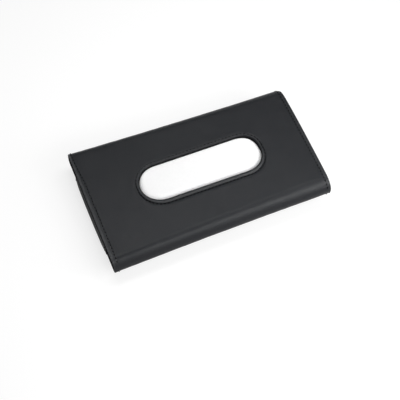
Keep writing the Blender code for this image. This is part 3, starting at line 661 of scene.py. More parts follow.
def leatherRelief(x, v, points):
    # Height of the leather's surface over the plain sleeve: hem, seams, the dip round the opening and soft unevenness.
    part = np.floor(np.mod(v, 6))
    fromMouth, fromClosed = x - sleeve["mouthX"], closedX - x
    mouthPinch = pinch(np.interp(np.mod(v, 6), mouthV, mouthArc), mouthArc[-1])
    closedPinch = pinch(np.interp(np.mod(v, 6), closedV, closedArc), closedArc[-1])
    mouthSeam = mouthSeamAt(v)
    mouthSewn, closedSewn = sewnAt(v, hem["sewnTo"]), sewnAt(v, closedSeam["sewnTo"])
    lift = hem["raise"] * (1 - smoothStep(-0.0005, 0.0005, fromMouth - mouthSeam))
    lift = lift - mouthSewn * hem["groove"] * (0.7 + 0.3 * mouthPinch) * hump(fromMouth, mouthSeam, hem["grooveWidth"])
    lift = lift - closedSewn * closedSeam["groove"] * (0.7 + 0.3 * closedPinch) * hump(
        fromClosed, closedSeam["seam"], closedSeam["grooveWidth"])
    lift = lift + closedSeam["puff"] * hump(fromClosed, 0.0023, 0.0014)
    for depth, radius in ((fromMouth, hem["lip"]), (fromClosed, closedSeam["lip"])):
        inside = np.clip(1 - depth / radius, 0, 1)
        lift = lift - radius * (1 - np.sqrt(1 - inside ** 2))
    onFront = part == 0
    gap, outward = fromOpening(x, points[..., 1])
    gap = gap / beadShare(outward)
    bedded = -0.00028 * (1 - smoothStep(0.0028, 0.0045, gap)) + 0.00008 * hump(gap, 0.0062, 0.0016)
    lift = lift + np.where(onFront, bedded, 0)
    t = np.mod(v, 1)
    bent = np.select([(part == 1) | (part == 4), (part == 2) | (part == 5)],
                     [smoothStep(0, 0.6, t), 1 - smoothStep(0.4, 1, t)], 0.0)
    quiet = smoothStep(0.0, 0.006, fromMouth) * smoothStep(0.0, 0.006, fromClosed)
    slow = 0.00010 * softNoise(points, 0.055, 3) + 0.00005 * softNoise(points, 0.020, 5)
    wrinkle = softNoise(points * np.array([1.0, 0.35, 0.35]), 0.010, 7)
    folds = 0.00007 * wrinkle * (0.15 + 0.85 * bent)
    lift = lift + (slow + folds) * (0.25 + 0.75 * quiet)
    pucker = mouthSewn * hump(fromMouth, mouthSeam, 0.0022) + closedSewn * hump(fromClosed, closedSeam["seam"], 0.0022)
    return lift + 0.00008 * pucker * softNoise(points, 0.0055, 11)


def frontShare(v):
    # 1 on the front, fading down both folds to 0 where they turn under.
    part, t = np.divmod(np.mod(v, 6), 1)
    return np.select([part == 0, part == 1, part == 5], [1 + 0 * t, 1 - smoothStep(0, 1, t), smoothStep(0, 1, t)], 0.0)


def wearAndHighlightAt(x, v):
    # Lighter leather colour: a painted highlight strongest on the front's lip, painted light less on the closed end's
    # near half, and wear on the folds.
    part, t = np.divmod(np.mod(v, 6), 1)
    nearSide = np.select([part == 0, part < 3], [1 - 0.8 * smoothStep(0.1, 0.8, t), 0.2], 1.0)
    lip = frontShare(v) * hump(x - sleeve["mouthX"], 0.0006, 0.0013)
    lip = lip + 0.3 * nearSide * hump(closedX - x, 0.0012, 0.0022)
    bend = np.select([part == 1, part == 2, part == 4, part == 5],
                     [np.sin(np.pi * t) * 0.5, (1 - t) * 0.4, t * 0.4, np.sin(np.pi * t) * 0.5], 0.0)
    return np.clip(lip + 0.15 * bend, 0, 1)


def lipReachAt(x, v):
    # The front's leather reaches out over the mouth; the reach fades along the sleeve and down the folds.
    return sleeve["lipReach"] * frontShare(v) * (1 - smoothStep(0, sleeve["lipFade"], x - sleeve["mouthX"]))


def dressedSkin(x, v):
    flat = sleeveSkin(x, v)
    points = flat + skinNormal(x, v) * leatherRelief(x, v, flat)[..., None]
    points[..., 0] -= lipReachAt(x, v)
    return points


def holedGrid(xs, ts, halfAt, holeGrow, levels, shares, margin):
    # A grid over the front, in (x, y), whose middle block gives way to rings round the opening: along each ray
    # from the opening's centre line the distance runs through the levels and on to the block's border.
    X, T = np.meshgrid(xs, ts, indexing="ij")
    Y = halfAt(X) * (2 * T - 1)
    flat = np.stack([X, Y], -1).reshape(-1, 2)
    rows, columns = X.shape
    i0 = np.searchsorted(xs, openingCentre[0] - opening["length"] / 2 - margin) - 1
    i1 = np.searchsorted(xs, openingCentre[0] + opening["length"] / 2 + margin)
    yMiddle = Y[(i0 + i1) // 2]
    j0 = np.searchsorted(yMiddle, openingCentre[1] - openingRadius - margin) - 1
    j1 = np.searchsorted(yMiddle, openingCentre[1] + openingRadius + margin)
    quads = gridFaces(rows, columns)
    i, j = np.divmod(quads[:, 0], columns)
    kept = quads[~((i >= i0) & (i < i1) & (j >= j0) & (j < j1))]
    alongX, alongY = np.arange(i0, i1), np.arange(j0, j1)
    border = np.concatenate([alongX * columns + j0, i1 * columns + alongY,
                             alongX[::-1] * columns + columns + j1, i0 * columns + alongY[::-1] + 1])
    edge = flat[border]
    core = np.stack([np.clip(edge[:, 0], openingCentre[0] - openingReach, openingCentre[0] + openingReach),
                     np.full(len(edge), openingCentre[1])], -1)
    ray = edge - core
    far = np.linalg.norm(ray, axis=1, keepdims=True)
    ray = ray / far
    swell = capSwell(ray)[:, None]
    near = openingRadius + holeGrow + np.array(levels)
    rings = [core + ray * (distance + swell * min(1, distance / openingRadius) ** 2) for distance in near]
    rings += [core + ray * blend(near[-1] + swell, far, share) for share in shares]
    count, start = len(edge), len(flat)
    ringQuads = gridFaces(len(rings), count, wrap=True) + start
    last = start + (len(rings) - 1) * count
    here, there = np.arange(count), (np.arange(count) + 1) % count
    bridge = np.stack([last + here, border, border[there], last + there], -1)
    return np.concatenate([flat, *rings]), np.concatenate([kept, ringQuads, bridge])


def compact(points, faces):
    # Drops the points that no face uses.
    used, index = np.unique(faces, return_inverse=True)
    return points[used], index.reshape(faces.shape)


def spaced(*runs):
    # Places in turn through (start, end, count) runs, without repeats at the joins.
    return np.concatenate([np.linspace(a, b, n, endpoint=False) for a, b, n in runs] + [[runs[-1][1]]])


def sleevePlaces():
    # Close together over the lips and seams, wider between.
    mouth, end = sleeve["mouthX"], closedX
    return np.concatenate([
        mouth + hem["lip"] * (1 - np.cos(np.linspace(0, np.pi / 2, 6))),
        spaced((mouth + 0.0011, mouth + 0.0035, 5), (mouth + 0.0035, mouth + 0.0068, 10),
               (mouth + 0.0068, mouth + 0.010, 4), (mouth + 0.010, end - 0.010, 98),
               (end - 0.010, end - 0.0062, 5), (end - 0.0062, end - 0.0024, 11), (end - 0.0024, end - 0.0012, 3)),
        end - closedSeam["lip"] * (1 - np.cos(np.linspace(np.pi / 2, 0, 7))),
    ])


def makeWrap():
    xs = sleevePlaces()
    ts = np.linspace(0, 1, 73)

    def frontHalf(x):
        return halfWidth(x, -1.0) - sized("foldOver", x)

    plan, frontFaces = holedGrid(
        xs, ts, frontHalf, 0.0012, np.concatenate([np.linspace(0, 0.0020, 4), np.linspace(0.0023, 0.0050, 10)]),
        (0.05, 0.11, 0.18, 0.27, 0.38, 0.52, 0.68, 0.84), 0.014)
    plan, frontFaces = compact(plan, frontFaces)
    frontX, frontT = plan[:, 0], (plan[:, 1] / frontHalf(plan[:, 0]) + 1) / 2
    vs = spaced((1, 2, 16), (2, 3, 12), (3, 4, 34), (4, 5, 12), (5, 6, 16))
    X, V = np.meshgrid(xs, vs, indexing="ij")
    restFaces = gridFaces(*X.shape) + len(plan)
    # the front's last row on each side is v = 0 and v = 1, which the other parts meet at v = 6 and v = 1
    x, v = np.concatenate([frontX, X.ravel()]), np.concatenate([np.clip(frontT, 0, 1 - 1e-12), V.ravel() - 1e-12])
    points = dressedSkin(x, v)
    return addPiece("wrapLeather", points, np.concatenate([frontFaces, restFaces]), blackLeather, "case",
                    ["wrap_cover"], {"wearAndHighlight": wearAndHighlightAt(x, v)}, merge=5e-6)


wrapLeather = makeWrap()
giveThickness(wrapLeather, sleeve["leather"] - 0.0001, innerMaterial=backingAndPaintedShade)
print("leather sleeve is wrapped")

# Rolled leather binding round the opening: a wall down through the boards and a bead on the front

binding = {
    "wall": 0.0009, "depth": 0.0041, "bead": 0.0029, "under": 0.0022, "rise": 0.00120, "seat": -0.00042,
    "seam": 0.0034, "overhang": 0.0006, "matte": 12, "samples": 400, "gather": 0.00006, "gatherLength": 0.0024,
}


def frontHeight(x):
    return sleeve["bottom"] + sized("thickness", x)


def roundOpening(count):
    # Equal steps of arc length round the opening, anticlockwise from its near left corner: the place on the
    # centre line, the outward direction, how far out the edge is, how far into a round end, and the arc length.
    straight, cap = 2 * openingReach, math.pi * openingRadius
    s = np.arange(count) / count * 2 * (straight + cap)
    run = np.searchsorted(np.cumsum([straight, cap, straight]), s, side="right")
    rest = s - np.array([0, straight, straight + cap, 2 * straight + cap])[run]
    turn = np.select([run == 0, run == 1, run == 2], [-np.pi / 2, -np.pi / 2 + rest / openingRadius, np.pi / 2],
                     np.pi / 2 + rest / openingRadius)
    across = np.select([run == 0, run == 1, run == 2], [rest - openingReach, openingReach, openingReach - rest],
                       -openingReach)
    core = np.stack([openingCentre[0] + across, np.full(count, openingCentre[1])], -1)
    inCap = np.where(run % 2 == 1, np.sin(np.pi * np.clip(rest / cap, 0, 1)), 0)
    outward = np.stack([np.cos(turn), np.sin(turn)], -1)
    return core, outward, openingRadius + capSwell(outward), inCap, s


def makeBinding():
    # A closed profile of (out, up) carried round the opening; at its ends the bead is gathered into fine folds.
    core, outward, edge, inCap, s = roundOpening(binding["samples"])
    half = binding["bead"] / 2
    wallUp = np.linspace(-binding["depth"], -0.0006, 7)
    t = np.linspace(np.pi, -0.25, 24)
    middle = -0.00015
    out = np.concatenate([0 * wallUp, half + half * np.cos(t), [binding["under"], binding["wall"], binding["wall"]]])
    up = np.concatenate([wallUp, middle + (binding["rise"] - middle) * np.sin(t),
                         [binding["seat"], binding["seat"], -binding["depth"]]])
    onBead = np.concatenate([0 * wallUp, np.clip(np.sin(t), 0, 1), [0, 0, 0]])
    fold = np.sin(2 * np.pi * s / binding["gatherLength"]) * inCap ** 0.5
    swell = 1 + 0.05 * softNoise(np.concatenate([core + outward * 0.02, s[:, None] * 0], 1), 0.03, 21)
    lift = onBead[None, :] * (binding["gather"] * fold[:, None]) + up[None, :] * np.where(
        onBead[None, :] > 0, swell[:, None], 1)
    narrow = np.where(out > binding["wall"], beadShare(outward)[:, None], 1)
    # on the near side the roll hangs a little over the hole
    over = np.concatenate([0 * wallUp, np.clip(-np.cos(t), 0, 1), [0, 0, 0]])
    inward = binding["overhang"] * smoothStep(0, 1, -outward[:, 1])[:, None] * over
    place = core[:, None, :] + outward[:, None, :] * (edge[:, None] + out * narrow - inward)[..., None]
    points = np.concatenate([place, (frontHeight(place[..., 0]) + lift)[..., None]], -1)
    rows, columns = points.shape[:2]
    faces = gridFaces(rows, columns, wrap=True)
    last = (rows - 1) * columns
    c = np.arange(columns)
    closing = np.stack([last + c, c, (c + 1) % columns, last + (c + 1) % columns], -1)
    # the bead's top and outer slope are painted lighter: a painted highlight
    wearAndHighlight = np.broadcast_to(0.85 * onBead * smoothStep(-0.3, 0.3, out / half - 1), (rows, columns))
    made = addPiece("openingBinding", points, np.concatenate([faces, closing]), blackLeather, "case",
                    ["opening_rim"], {"wearAndHighlight": wearAndHighlight}, closed=True, angle=50)
    # the wall and the start of the roll get the leather's dark matte backing: painted shade on a wall that lies in
    # shade
    made.data.materials.append(backingAndPaintedShade)
    for face in made.data.polygons:
        face.material_index = int(max(index % columns for index in face.vertices) < binding["matte"])


makeBinding()
print("opening is bound")


# Stitches: short oval tubes along a seam, one per pitch, whose ends dip into the leather

def stitchRow(name, path, normals, body, slotName="black_cloth", closedPath=True, sewnTo=None):
    if closedPath:
        path, normals = np.concatenate([path, path[:1]]), np.concatenate([normals, normals[:1]])
    s = np.concatenate([[0], np.cumsum(np.linalg.norm(np.diff(path, axis=0), axis=1))])
    count = round(s[-1] / stitch["pitch"])
    middle = (np.arange(count) + 0.5) * s[-1] / count
    if sewnTo:
        middle = middle[sewnAt(6 * np.interp(middle, s, np.linspace(0, 1, len(s))), sewnTo) > 0.5]
        count = len(middle)
    u = np.array([-1.0, -0.86, -0.5, 0.0, 0.5, 0.86, 1.0])
    at = middle[:, None] + u * stitch["length"] / 2
    place = np.stack([np.interp(at, s, path[:, k]) for k in range(3)], -1)
    up = np.stack([np.interp(middle, s, normals[:, k]) for k in range(3)], -1)[:, None]
    up = up / np.linalg.norm(up, axis=-1, keepdims=True)
    forward = place[:, -1:] - place[:, :1]
    forward = forward / np.linalg.norm(forward, axis=-1, keepdims=True)
    side = np.cross(up, forward)
    place = place + side * (u * stitch["length"] / 2 * stitch["slant"])[None, :, None]
    place = place + up * ((stitch["radius"] * 1.3) * (1 - u ** 2) - stitch["sink"])[None, :, None]
    thick = stitch["radius"] * np.sqrt(1 - (0.999 * np.abs(u)) ** 3)
    thick[[0, -1]] = 0
    turn = np.arange(6) / 6 * 2 * np.pi
    ring = (side[:, :, None] * np.cos(turn)[None, None, :, None] * 1.15
            + up[:, :, None] * np.sin(turn)[None, None, :, None])
    points = place[:, :, None, :] + ring * thick[None, :, None, None]
    one = gridFaces(len(u), 6, wrap=True)
    faces = (one[None] + (np.arange(count) * len(u) * 6)[:, None, None]).reshape(-1, 4)
    return addPiece(name, points, faces, blackThread, body, closed=True, angle=80, merge=1e-8)


def seamPath(x, v):
    return dressedSkin(x, v), skinNormal(x, v)


v = np.arange(1500) / 1500 * 6
stitchRow("mouthStitching", *seamPath(sleeve["mouthX"] + mouthSeamAt(v), v), "case", sewnTo=hem["sewnTo"])
stitchRow("closedEndStitching", *seamPath(closedX - closedSeam["seam"] + 0 * v, v), "case", sewnTo=closedSeam["sewnTo"])
core, outward, edge, _, _ = roundOpening(1200)
seam = core + outward * (edge + binding["seam"] * beadShare(outward))[:, None]
seamV = frontV(seam[:, 0], seam[:, 1])
stitchRow("openingStitching", dressedSkin(seam[:, 0], seamV), skinNormal(seam[:, 0], seamV), "case")
print("sleeve is stitched")


# Closed end: a leather tray, a little domed, whose flange is sewn inside the sleeve

tray = {"wall": 0.0017, "setback": 0.0005, "depth": 0.006, "corner": 0.0012, "dome": 0.00045, "thickness": 0.0013}


def makeClosedEnd():
    # Rings of the sleeve's own section, set in by the wall, shrink to its middle line over the web,
    # and run back along the sleeve over the flange.
    v = np.arange(200) / 200 * 6
    end = closedX - tray["setback"]
    normal = skinNormal(np.full_like(v, end), v) * np.array([0, 1, 1])
    normal /= np.linalg.norm(normal, axis=1, keepdims=True)

    def ring(x, inset):
        return sleeveSkin(np.full_like(v, x), v) - normal * inset

    rim = ring(end, tray["wall"])
    middleY = np.clip(rim[:, 1], -0.050, 0.050)
    middle = np.stack([rim[:, 0], middleY, np.full_like(v, sleeve["bottom"] + 0.012)], -1)
    rings = []
    for share in (0, 0.12, 0.25, 0.4, 0.55, 0.7, 0.82, 0.90):
        flat = blend(middle, ring(end, tray["wall"] + tray["corner"]), share / 0.90)
        gathers = 0.00008 * np.sin(2 * np.pi * v * 13) * share ** 4
        flat[:, 0] = blend(middle[:, 0], rim[:, 0], share) - tray["dome"] * share ** 3 + gathers
        rings.append(flat)
    for turn in np.linspace(0.2, 1.0, 5) * np.pi / 2:
        rings.append(ring(end - tray["corner"] * (1 - math.cos(turn)),
                          tray["wall"] + tray["corner"] * (1 - math.sin(turn))) - [tray["dome"], 0, 0])
    for x in np.linspace(end - tray["corner"] - 0.0005, end - tray["depth"], 5):
        rings.append(ring(x, tray["wall"]))
    points = np.stack(rings)
    faces = gridFaces(*points.shape[:2], wrap=True)[:, ::-1]
    made = addPiece("closedEndTray", points, faces, plainLeather, "case", ["closed_end_panel"])
    giveThickness(made, tray["thickness"], innerMaterial=backingAndPaintedShade)


makeClosedEnd()
print("closed end is in")


# Linings: cloth laid on the boards

lining = {"margin": 0.0032, "corner": 0.005, "start": 0.0015, "backStart": -0.10995, "end": 0.10685,
          "frontDown": 0.00362, "backUp": 0.00482, "thickness": 0.00042}


def liningHalf(x, start, side=-1.0):
    # Half the cloth's width: the flat face less a margin, with a quarter circle at each corner.
    half = halfWidth(x, side) - sized("foldOver", x) - lining["margin"]
    fromEnd = np.minimum(x - start, lining["end"] - x)
    rise = np.clip(lining["corner"] - fromEnd, 0, lining["corner"])
    return half - lining["corner"] + np.sqrt(lining["corner"] ** 2 - rise ** 2)


def liningPlaces(start):
    corner = lining["corner"] * (1 - np.cos(np.linspace(0, np.pi / 2, 9)))
    return np.concatenate([start + corner, np.linspace(start + 0.006, lining["end"] - 0.006, 90),
                           (lining["end"] - corner)[::-1]])


def makeLinings():
    start = sleeve["mouthX"] + lining["start"]
    plan, faces = holedGrid(liningPlaces(start), np.linspace(0, 1, 45), lambda x: liningHalf(x, start), 0.0013,
                            [0, 0.0008, 0.0018, 0.003], (0.12, 0.26, 0.42, 0.6, 0.8), 0.012)
    plan, faces = compact(plan, faces)
    slack = 0.00004 * softNoise(np.concatenate([plan, plan[:, :1] * 0], 1), 0.03, 31)
    height = frontHeight(plan[:, 0]) - lining["frontDown"] + slack
    front = addPiece("frontLining", np.column_stack([plan, height]), faces, blackCloth, "case",
                     ["front_lining"])
    giveThickness(front, lining["thickness"])
    start = lining["backStart"]
    X, T = np.meshgrid(liningPlaces(start), np.linspace(0, 1, 45), indexing="ij")
    plan = np.stack([X, liningHalf(X, start) * (2 * T - 1)], -1).reshape(-1, 2)
    faces = gridFaces(*X.shape)
    slack = 0.00004 * softNoise(np.concatenate([plan, plan[:, :1] * 0], 1), 0.03, 32)
    back = addPiece("backLining", np.column_stack([plan, sleeve["bottom"] + lining["backUp"] + 0.00045 + slack]),
                    faces, blackCloth, "case", ["back_lining"])
    giveThickness(back, lining["thickness"])


makeLinings()
print("linings are laid")


# Tissues: a soft folded stack, and the top tissue that swells into the opening

pack = {
    "x": (-0.09655, 0.10655), "half": 0.050, "corner": 0.003, "bottom": 0.01585, "down": 0.0047,
    "crown": 0.0012, "shoulder": (0.0100, 0.0014), "roundness": (1.6, 2.6), "clear": (0.00035, 0.00010),
}


def packOutline(count):
    # Round the pack with rounded corners, by arc length, as (x, y) and the outward direction.
    low, high = pack["x"]
    corner, half = pack["corner"], pack["half"]
    cx, cy, ax, ay = (low + high) / 2, 0.0, (high - low) / 2 - corner, half - corner
    lengths = np.array([2 * ax, np.pi / 2 * corner, 2 * ay, np.pi / 2 * corner] * 2)
    ends = np.cumsum(lengths)
    s = np.arange(count) / count * ends[-1]
    run = np.searchsorted(ends, s, side="right")
    t = (s - np.concatenate([[0], ends])[run]) / lengths[run]
    quarter = run // 2
    turn = np.where(run % 2 == 0, quarter - 1, quarter - 1 + t) * np.pi / 2
    starts = np.array([[-ax, -ay], [ax, -ay], [ax, -ay], [ax, ay], [ax, ay], [-ax, ay], [-ax, ay], [-ax, -ay]])
    stops = np.array([[ax, -ay], [ax, -ay], [ax, ay], [ax, ay], [-ax, ay], [-ax, ay], [-ax, -ay], [-ax, -ay]])
    core = blend(starts[run], stops[run], t[:, None]) + [cx, cy]
    outward = np.stack([np.cos(turn), np.sin(turn)], -1)
    return core + outward * corner, outward


def makeStack():
    # Side walls of many folded layers, each a small round ridge, closed by a flat bottom and top.
    edge, outward = packOutline(420)
    top = frontHeight(edge[:, 0]) - pack["down"]
    layers = 26
    t = np.linspace(0, 1, layers * 4 + 1)
    ridge = np.abs(np.sin(np.pi * t * layers)) ** 0.7
    soft = np.sqrt(np.clip(1 - (2 * t - 1) ** 8, 0, 1))
    height = blend(pack["bottom"], top[:, None], t[None, :])
    spread = softNoise(np.stack([edge[:, None, 0] + 0 * height, edge[:, None, 1] + 0 * height,
                                 np.round(t * layers)[None, :] * 0.05 + 0 * height], -1), 0.09, 41)
    inset = 0.00034 * (1 - ridge)[None, :] + 0.0011 * (1 - soft)[None, :] + 0.00022 * (1 + spread)
    place = edge[:, None] - outward[:, None] * inset[..., None]
    walls = np.concatenate([place, height[..., None]], -1).transpose(1, 0, 2)
    lids = []
    for row in (walls[0], walls[-1]):
        # a lid shrinks to the pack's middle line
        middle = row.copy()
        middle[:, 1] = 0
        middle[:, 0] = np.clip(row[:, 0], pack["x"][0] + pack["half"], pack["x"][1] - pack["half"])
        middle[:, 2] = np.interp(middle[:, 0], (row[:, 0].min(), row[:, 0].max()),
                                 (row[row[:, 0].argmin(), 2], row[row[:, 0].argmax(), 2]))
        lids.append([blend(middle, row, share) for share in (0, 0.5, 0.9)])
    points = np.stack(lids[0] + list(walls) + lids[1][::-1])
    faces = gridFaces(*points.shape[:2], wrap=True)
    stack = addPiece("tissueStack", points, faces, tissuePaper, "case", ["tissue_pack"],
                     closed=True, angle=70)
    return stack


def topLevel(x, y):
    # Height of the top tissue under the front face: flat under the lining, a soft crown inside the opening,
    # which falls away slowly on the near side and stands up to the wall on the far side.
    side = np.clip((y - openingCentre[1]) / openingRadius, -1, 1) / 2 + 0.5
    clear, shoulder = blend(*pack["clear"], side), blend(*pack["shoulder"], side)
    inside = np.clip((-fromOpening(x, y)[0] - clear) / shoulder, 0, 1)
    power = blend(*pack["roundness"], side)
    rise = (1 - (1 - inside) ** power) ** (1 / power)
    return blend(-0.00455, -pack["crown"], rise)


def makeTopTissue():
    low, high = pack["x"][0] + 0.0012, pack["x"][1] - 0.0012
    half = pack["half"] - 0.0012
    xs = np.linspace(low, high, 120)
    plan, faces = holedGrid(xs, np.linspace(0, 1, 60), lambda x: half + 0 * x, -openingRadius,
                            np.concatenate([np.linspace(0, openingRadius - 0.004, 14),
                                            openingRadius - np.array([0.0036, 0.0031, 0.0026, 0.0021, 0.0017, 0.0013,
                                                                      0.0010, 0.0008, 0.0006, 0.00045, 0.00035, 0.0001]),
                                            [openingRadius + 0.001]]),
                            (0.1, 0.25, 0.45, 0.7), 0.008)
    plan, faces = compact(plan, faces)
    x, y = plan.T
    crease = 0.00007 * softNoise(np.column_stack([plan, 0 * x]), 0.016, 51)
    crease = crease + 0.00004 * softNoise(np.column_stack([plan, 0 * x]), 0.006, 52)
    loose = smoothStep(0.0010, 0.0060, -fromOpening(x, y)[0])
    height = frontHeight(x) + topLevel(x, y) + crease * (0.2 + 0.8 * loose)
    tissue = addPiece("topTissue", np.column_stack([plan, height]), faces, tissuePaper, "case",
                      angle=180)
    giveThickness(tissue, 0.00008)


makeStack()
makeTopTissue()
print("tissues are in")


# End flap: a wall on the hinge, a round corner, and a tongue whose arc is centred on the hinge

flap = {
    "hinge": (-0.11335, 0.0110), "leather": 0.0010, "foot": 0.047, "tongue": 0.042, "bulge": 0.0008,
    "corner": 0.0036, "radius": 0.0122, "drop": 0.0005, "cornerCentre": (0.0031, 0.00802), "meet": 0.3688,
    "endTurn": math.radians(54.06), "tongueCorner": 0.0035, "seam": 0.0026, "groove": 0.00022, "lip": 0.00045,
    "liningDepth": 0.00262, "liningMargin": 0.0015, "liningFoot": 0.0010, "skive": 0.00075, "skiveWidth": 0.014,
}
flapWall = flap["cornerCentre"][1] + flap["drop"]
flapBend = flapWall + flap["corner"] * (math.pi / 2 + flap["meet"])
flapLength = flapBend + flap["radius"] * (flap["endTurn"] - flap["meet"])


def flapHalf(s, margin):
    # A taper, then rounded corners at the tongue's end.
    left = np.clip(flapLength - s, 0, None)
    rise = np.clip(flap["tongueCorner"] - left, 0, flap["tongueCorner"])
    rounding = flap["tongueCorner"] - np.sqrt(flap["tongueCorner"] ** 2 - rise ** 2)
    return blend(flap["foot"], flap["tongue"], s / flapLength) - rounding - margin


def flapSkin(s, u, depth, margin=0.0):
    # s is the distance up the outer face from the foot, u runs from -1 to 1 across, depth goes inwards.
    depth = depth + 0 * s
    wallZ = s - flap["drop"]
    cornerTurn = np.pi - (s - flapWall) / flap["corner"]
    tongueTurn = flap["meet"] + (s - flapBend) / flap["radius"]
    onWall, onCorner = s <= flapWall, s <= flapBend
    cx, cz = flap["cornerCentre"]
    x = np.select([onWall, onCorner], [depth - flap["leather"] / 2, cx + (flap["corner"] - depth) * np.cos(cornerTurn)],
                  (flap["radius"] - depth) * np.sin(tongueTurn))
    z = np.select([onWall, onCorner], [wallZ, cz + (flap["corner"] - depth) * np.sin(cornerTurn)],
                  (flap["radius"] - depth) * np.cos(tongueTurn))
    puff = np.where(onWall, np.sin(np.pi * np.clip(wallZ, 0, None) / cz), 0)
    out = flap["bulge"] * puff * (1 - u ** 2)
    half = flapHalf(s, margin)
    return np.stack([flap["hinge"][0] + x - out, u * half, flap["hinge"][1] + z], -1)


def flapInward(s):
    # Unit direction into the flap, across its skin, in the plane of X and Z.
    cornerTurn = np.pi - (s - flapWall) / flap["corner"]
    tongueTurn = flap["meet"] + (s - flapBend) / flap["radius"]
    onWall, onCorner = s <= flapWall, s <= flapBend
    return np.stack([np.select([onWall, onCorner], [1.0 + 0 * s, -np.cos(cornerTurn)], -np.sin(tongueTurn)), 0 * s,
                     np.select([onWall, onCorner], [0 * s, -np.sin(cornerTurn)], -np.cos(tongueTurn))], -1)


def flapPared(s, u):
    # The leather is pared thin towards its sides and round its corner, and not at all on the tongue.
    fromSide = flapHalf(s, 0) * (1 - np.abs(u))
    sides = flap["skive"] * (1 - smoothStep(0, flap["skiveWidth"], fromSide)) * (1 - smoothStep(flapWall, flapBend, s))
    corner = flap["skive"] * smoothStep(flapWall - 0.0040, flapWall, s) * (1 - smoothStep(flapBend - 0.001, flapBend + 0.003, s))
    return np.maximum(sides, corner)


def makeFlap():
    edges = np.array([0, 0.06, 0.16, 0.32, 0.5, 0.8, 1.2, 1.7, 2.1, 2.35, 2.6, 2.85, 3.1, 3.6, 4.4, 5.5]) * 0.001
    s = np.concatenate([np.linspace(0, flapLength - 0.0045, 56), flapLength - edges[edges < 0.0042][::-1]])
    half = flap["foot"]
    share = np.concatenate([edges / half, np.linspace(0.0068, half, 36) / half])
    u = np.concatenate([share - 1, (1 - share)[::-1][1:]])
    S, U = np.meshgrid(s, u, indexing="ij")
    fromSide = flapHalf(S, 0) * (1 - np.abs(U))
    fromTip = flapLength - S
    fromEdge = np.minimum(fromSide, fromTip)
    depth = flap["groove"] * hump(fromEdge, flap["seam"], 0.0004)
    lip = np.clip(1 - fromEdge / flap["lip"], 0, 1)
    depth = depth + flap["lip"] * (1 - np.sqrt(1 - lip ** 2))
    plain = flapSkin(S, U, 0.0)
    depth = depth - 0.00004 * softNoise(plain, 0.014, 61) * smoothStep(0.001, 0.006, fromEdge)
    pared = flapPared(S, U)
    points = plain + flapInward(S) * (depth + pared)[..., None]
    # the colour is lighter along the flap's edges
    wearAndHighlight = 0.5 * hump(fromEdge, 0, 0.001)
    made = addPiece("flapLeather", points, gridFaces(*S.shape), blackLeather, "end_flap",
                    ["end_flap"], {"wearAndHighlight": wearAndHighlight})
    # from the corner on, the flap gets the leather's dark matte backing: painted shade in the crevice under the front's
    # lip
    made.data.materials.append(backingAndPaintedShade)
    for face in made.data.polygons:
        face.material_index = int(max(face.vertices) // len(u) > np.searchsorted(s, flapWall))
    giveThickness(made, flap["leather"] - 0.00006, innerMaterial=backingAndPaintedShade, shares=1 - pared / flap["leather"])
    # the seam runs up one side, along the tongue's tip and down the other side
    down = np.linspace(0.0012, flapLength - flap["seam"], 80)
    tipU = 1 - flap["seam"] / flapHalf(down, 0)
    tip = np.linspace(1, -1, 160)[1:-1]
    pathS = np.concatenate([down, np.full(len(tip), down[-1]), down[::-1]])
    pathU = np.concatenate([tipU, tip * tipU[-1], -tipU[::-1]])
    path = flapSkin(pathS, pathU, flap["groove"] * 0.8 + flapPared(pathS, pathU))
    stitchRow("flapStitching", path, -flapInward(pathS), "end_flap", closedPath=False)
    s = np.linspace(flap["liningFoot"] + flap["drop"] + flap["leather"] / 2, flapLength - flap["liningMargin"], 60)
    u = np.linspace(-1, 1, 61)
    S, U = np.meshgrid(s, u, indexing="ij")
    cloth = flapSkin(S, U, flap["liningDepth"], flap["liningMargin"])
    inner = addPiece("flapLining", cloth, gridFaces(*S.shape), blackCloth, "end_flap",
                     ["end_flap_lining"])
    giveThickness(inner, 0.00034)


makeFlap()
print("flap is hung")


# Spring clips and rivets

clip = {
    "spacing": 0.120, "width": 0.018, "steel": 0.0008, "corner": 0.0032, "edge": 0.00025,
    "bendRadius": 0.0046, "bendY": -0.040, "baseEnd": 0.034, "crest": (0.026, 0.0075), "crestRadius": 0.008,
    "lip": (0.040, 0.0004), "level": 0.0096, "joint": 0.00006,
}
rivet = {"places": (-0.031, 0.004), "head": 0.0035, "rise": 0.0013, "rim": 0.00018, "shank": 0.0016, "top": 0.00918,
         "tail": 0.0146}


def clipSlope():
    # The arm's line from its crest that just touches the underside of the bend.
    across = clip["crest"][0] - clip["bendY"]
    up = clip["crest"][1] - (clip["level"] - clip["bendRadius"])
    return math.atan2(up, across) + math.asin(clip["bendRadius"] / math.hypot(across, up))


def bendAt(turn):
    centre = np.array([clip["bendY"], clip["level"] - clip["bendRadius"]])
    return centre + clip["bendRadius"] * np.stack([np.cos(turn), np.sin(turn)], -1)


def clipPaths():
    # (y, z) of the strip's middle surface: the base with its bend, then the arm with its crest and lip.
    slope = clipSlope()
    lastTurn = 3 * np.pi / 2 + slope
    straight = np.column_stack([np.linspace(clip["baseEnd"], clip["bendY"], 90)[:-1], np.full(89, clip["level"])])
    base = np.concatenate([straight, bendAt(np.linspace(np.pi / 2, lastTurn, 48))])
    forward = np.array([math.cos(slope), math.sin(slope)])
    hinge = base[-1] + forward * 0.00015
    base = np.concatenate([base, [hinge - forward * clip["joint"]]])
    crest, lip = np.array(clip["crest"]), np.array(clip["lip"])
    onward = (lip - crest) / np.linalg.norm(lip - crest)
    reach = clip["crestRadius"] * math.tan(math.acos(np.clip(forward @ onward, -1, 1)) / 2)
    t = np.linspace(0, 1, 20)[:, None]
    into, outOf = crest - forward * reach, crest + onward * reach
    over = blend(blend(into, crest, t), blend(crest, outOf, t), t)
    start = hinge + forward * clip["joint"]
    arm = np.concatenate([blend(start, into, np.linspace(0, 1, 60)[:-1, None]), over,
                          blend(outOf, lip, np.linspace(0, 1, 22)[1:, None])])
    return base, arm


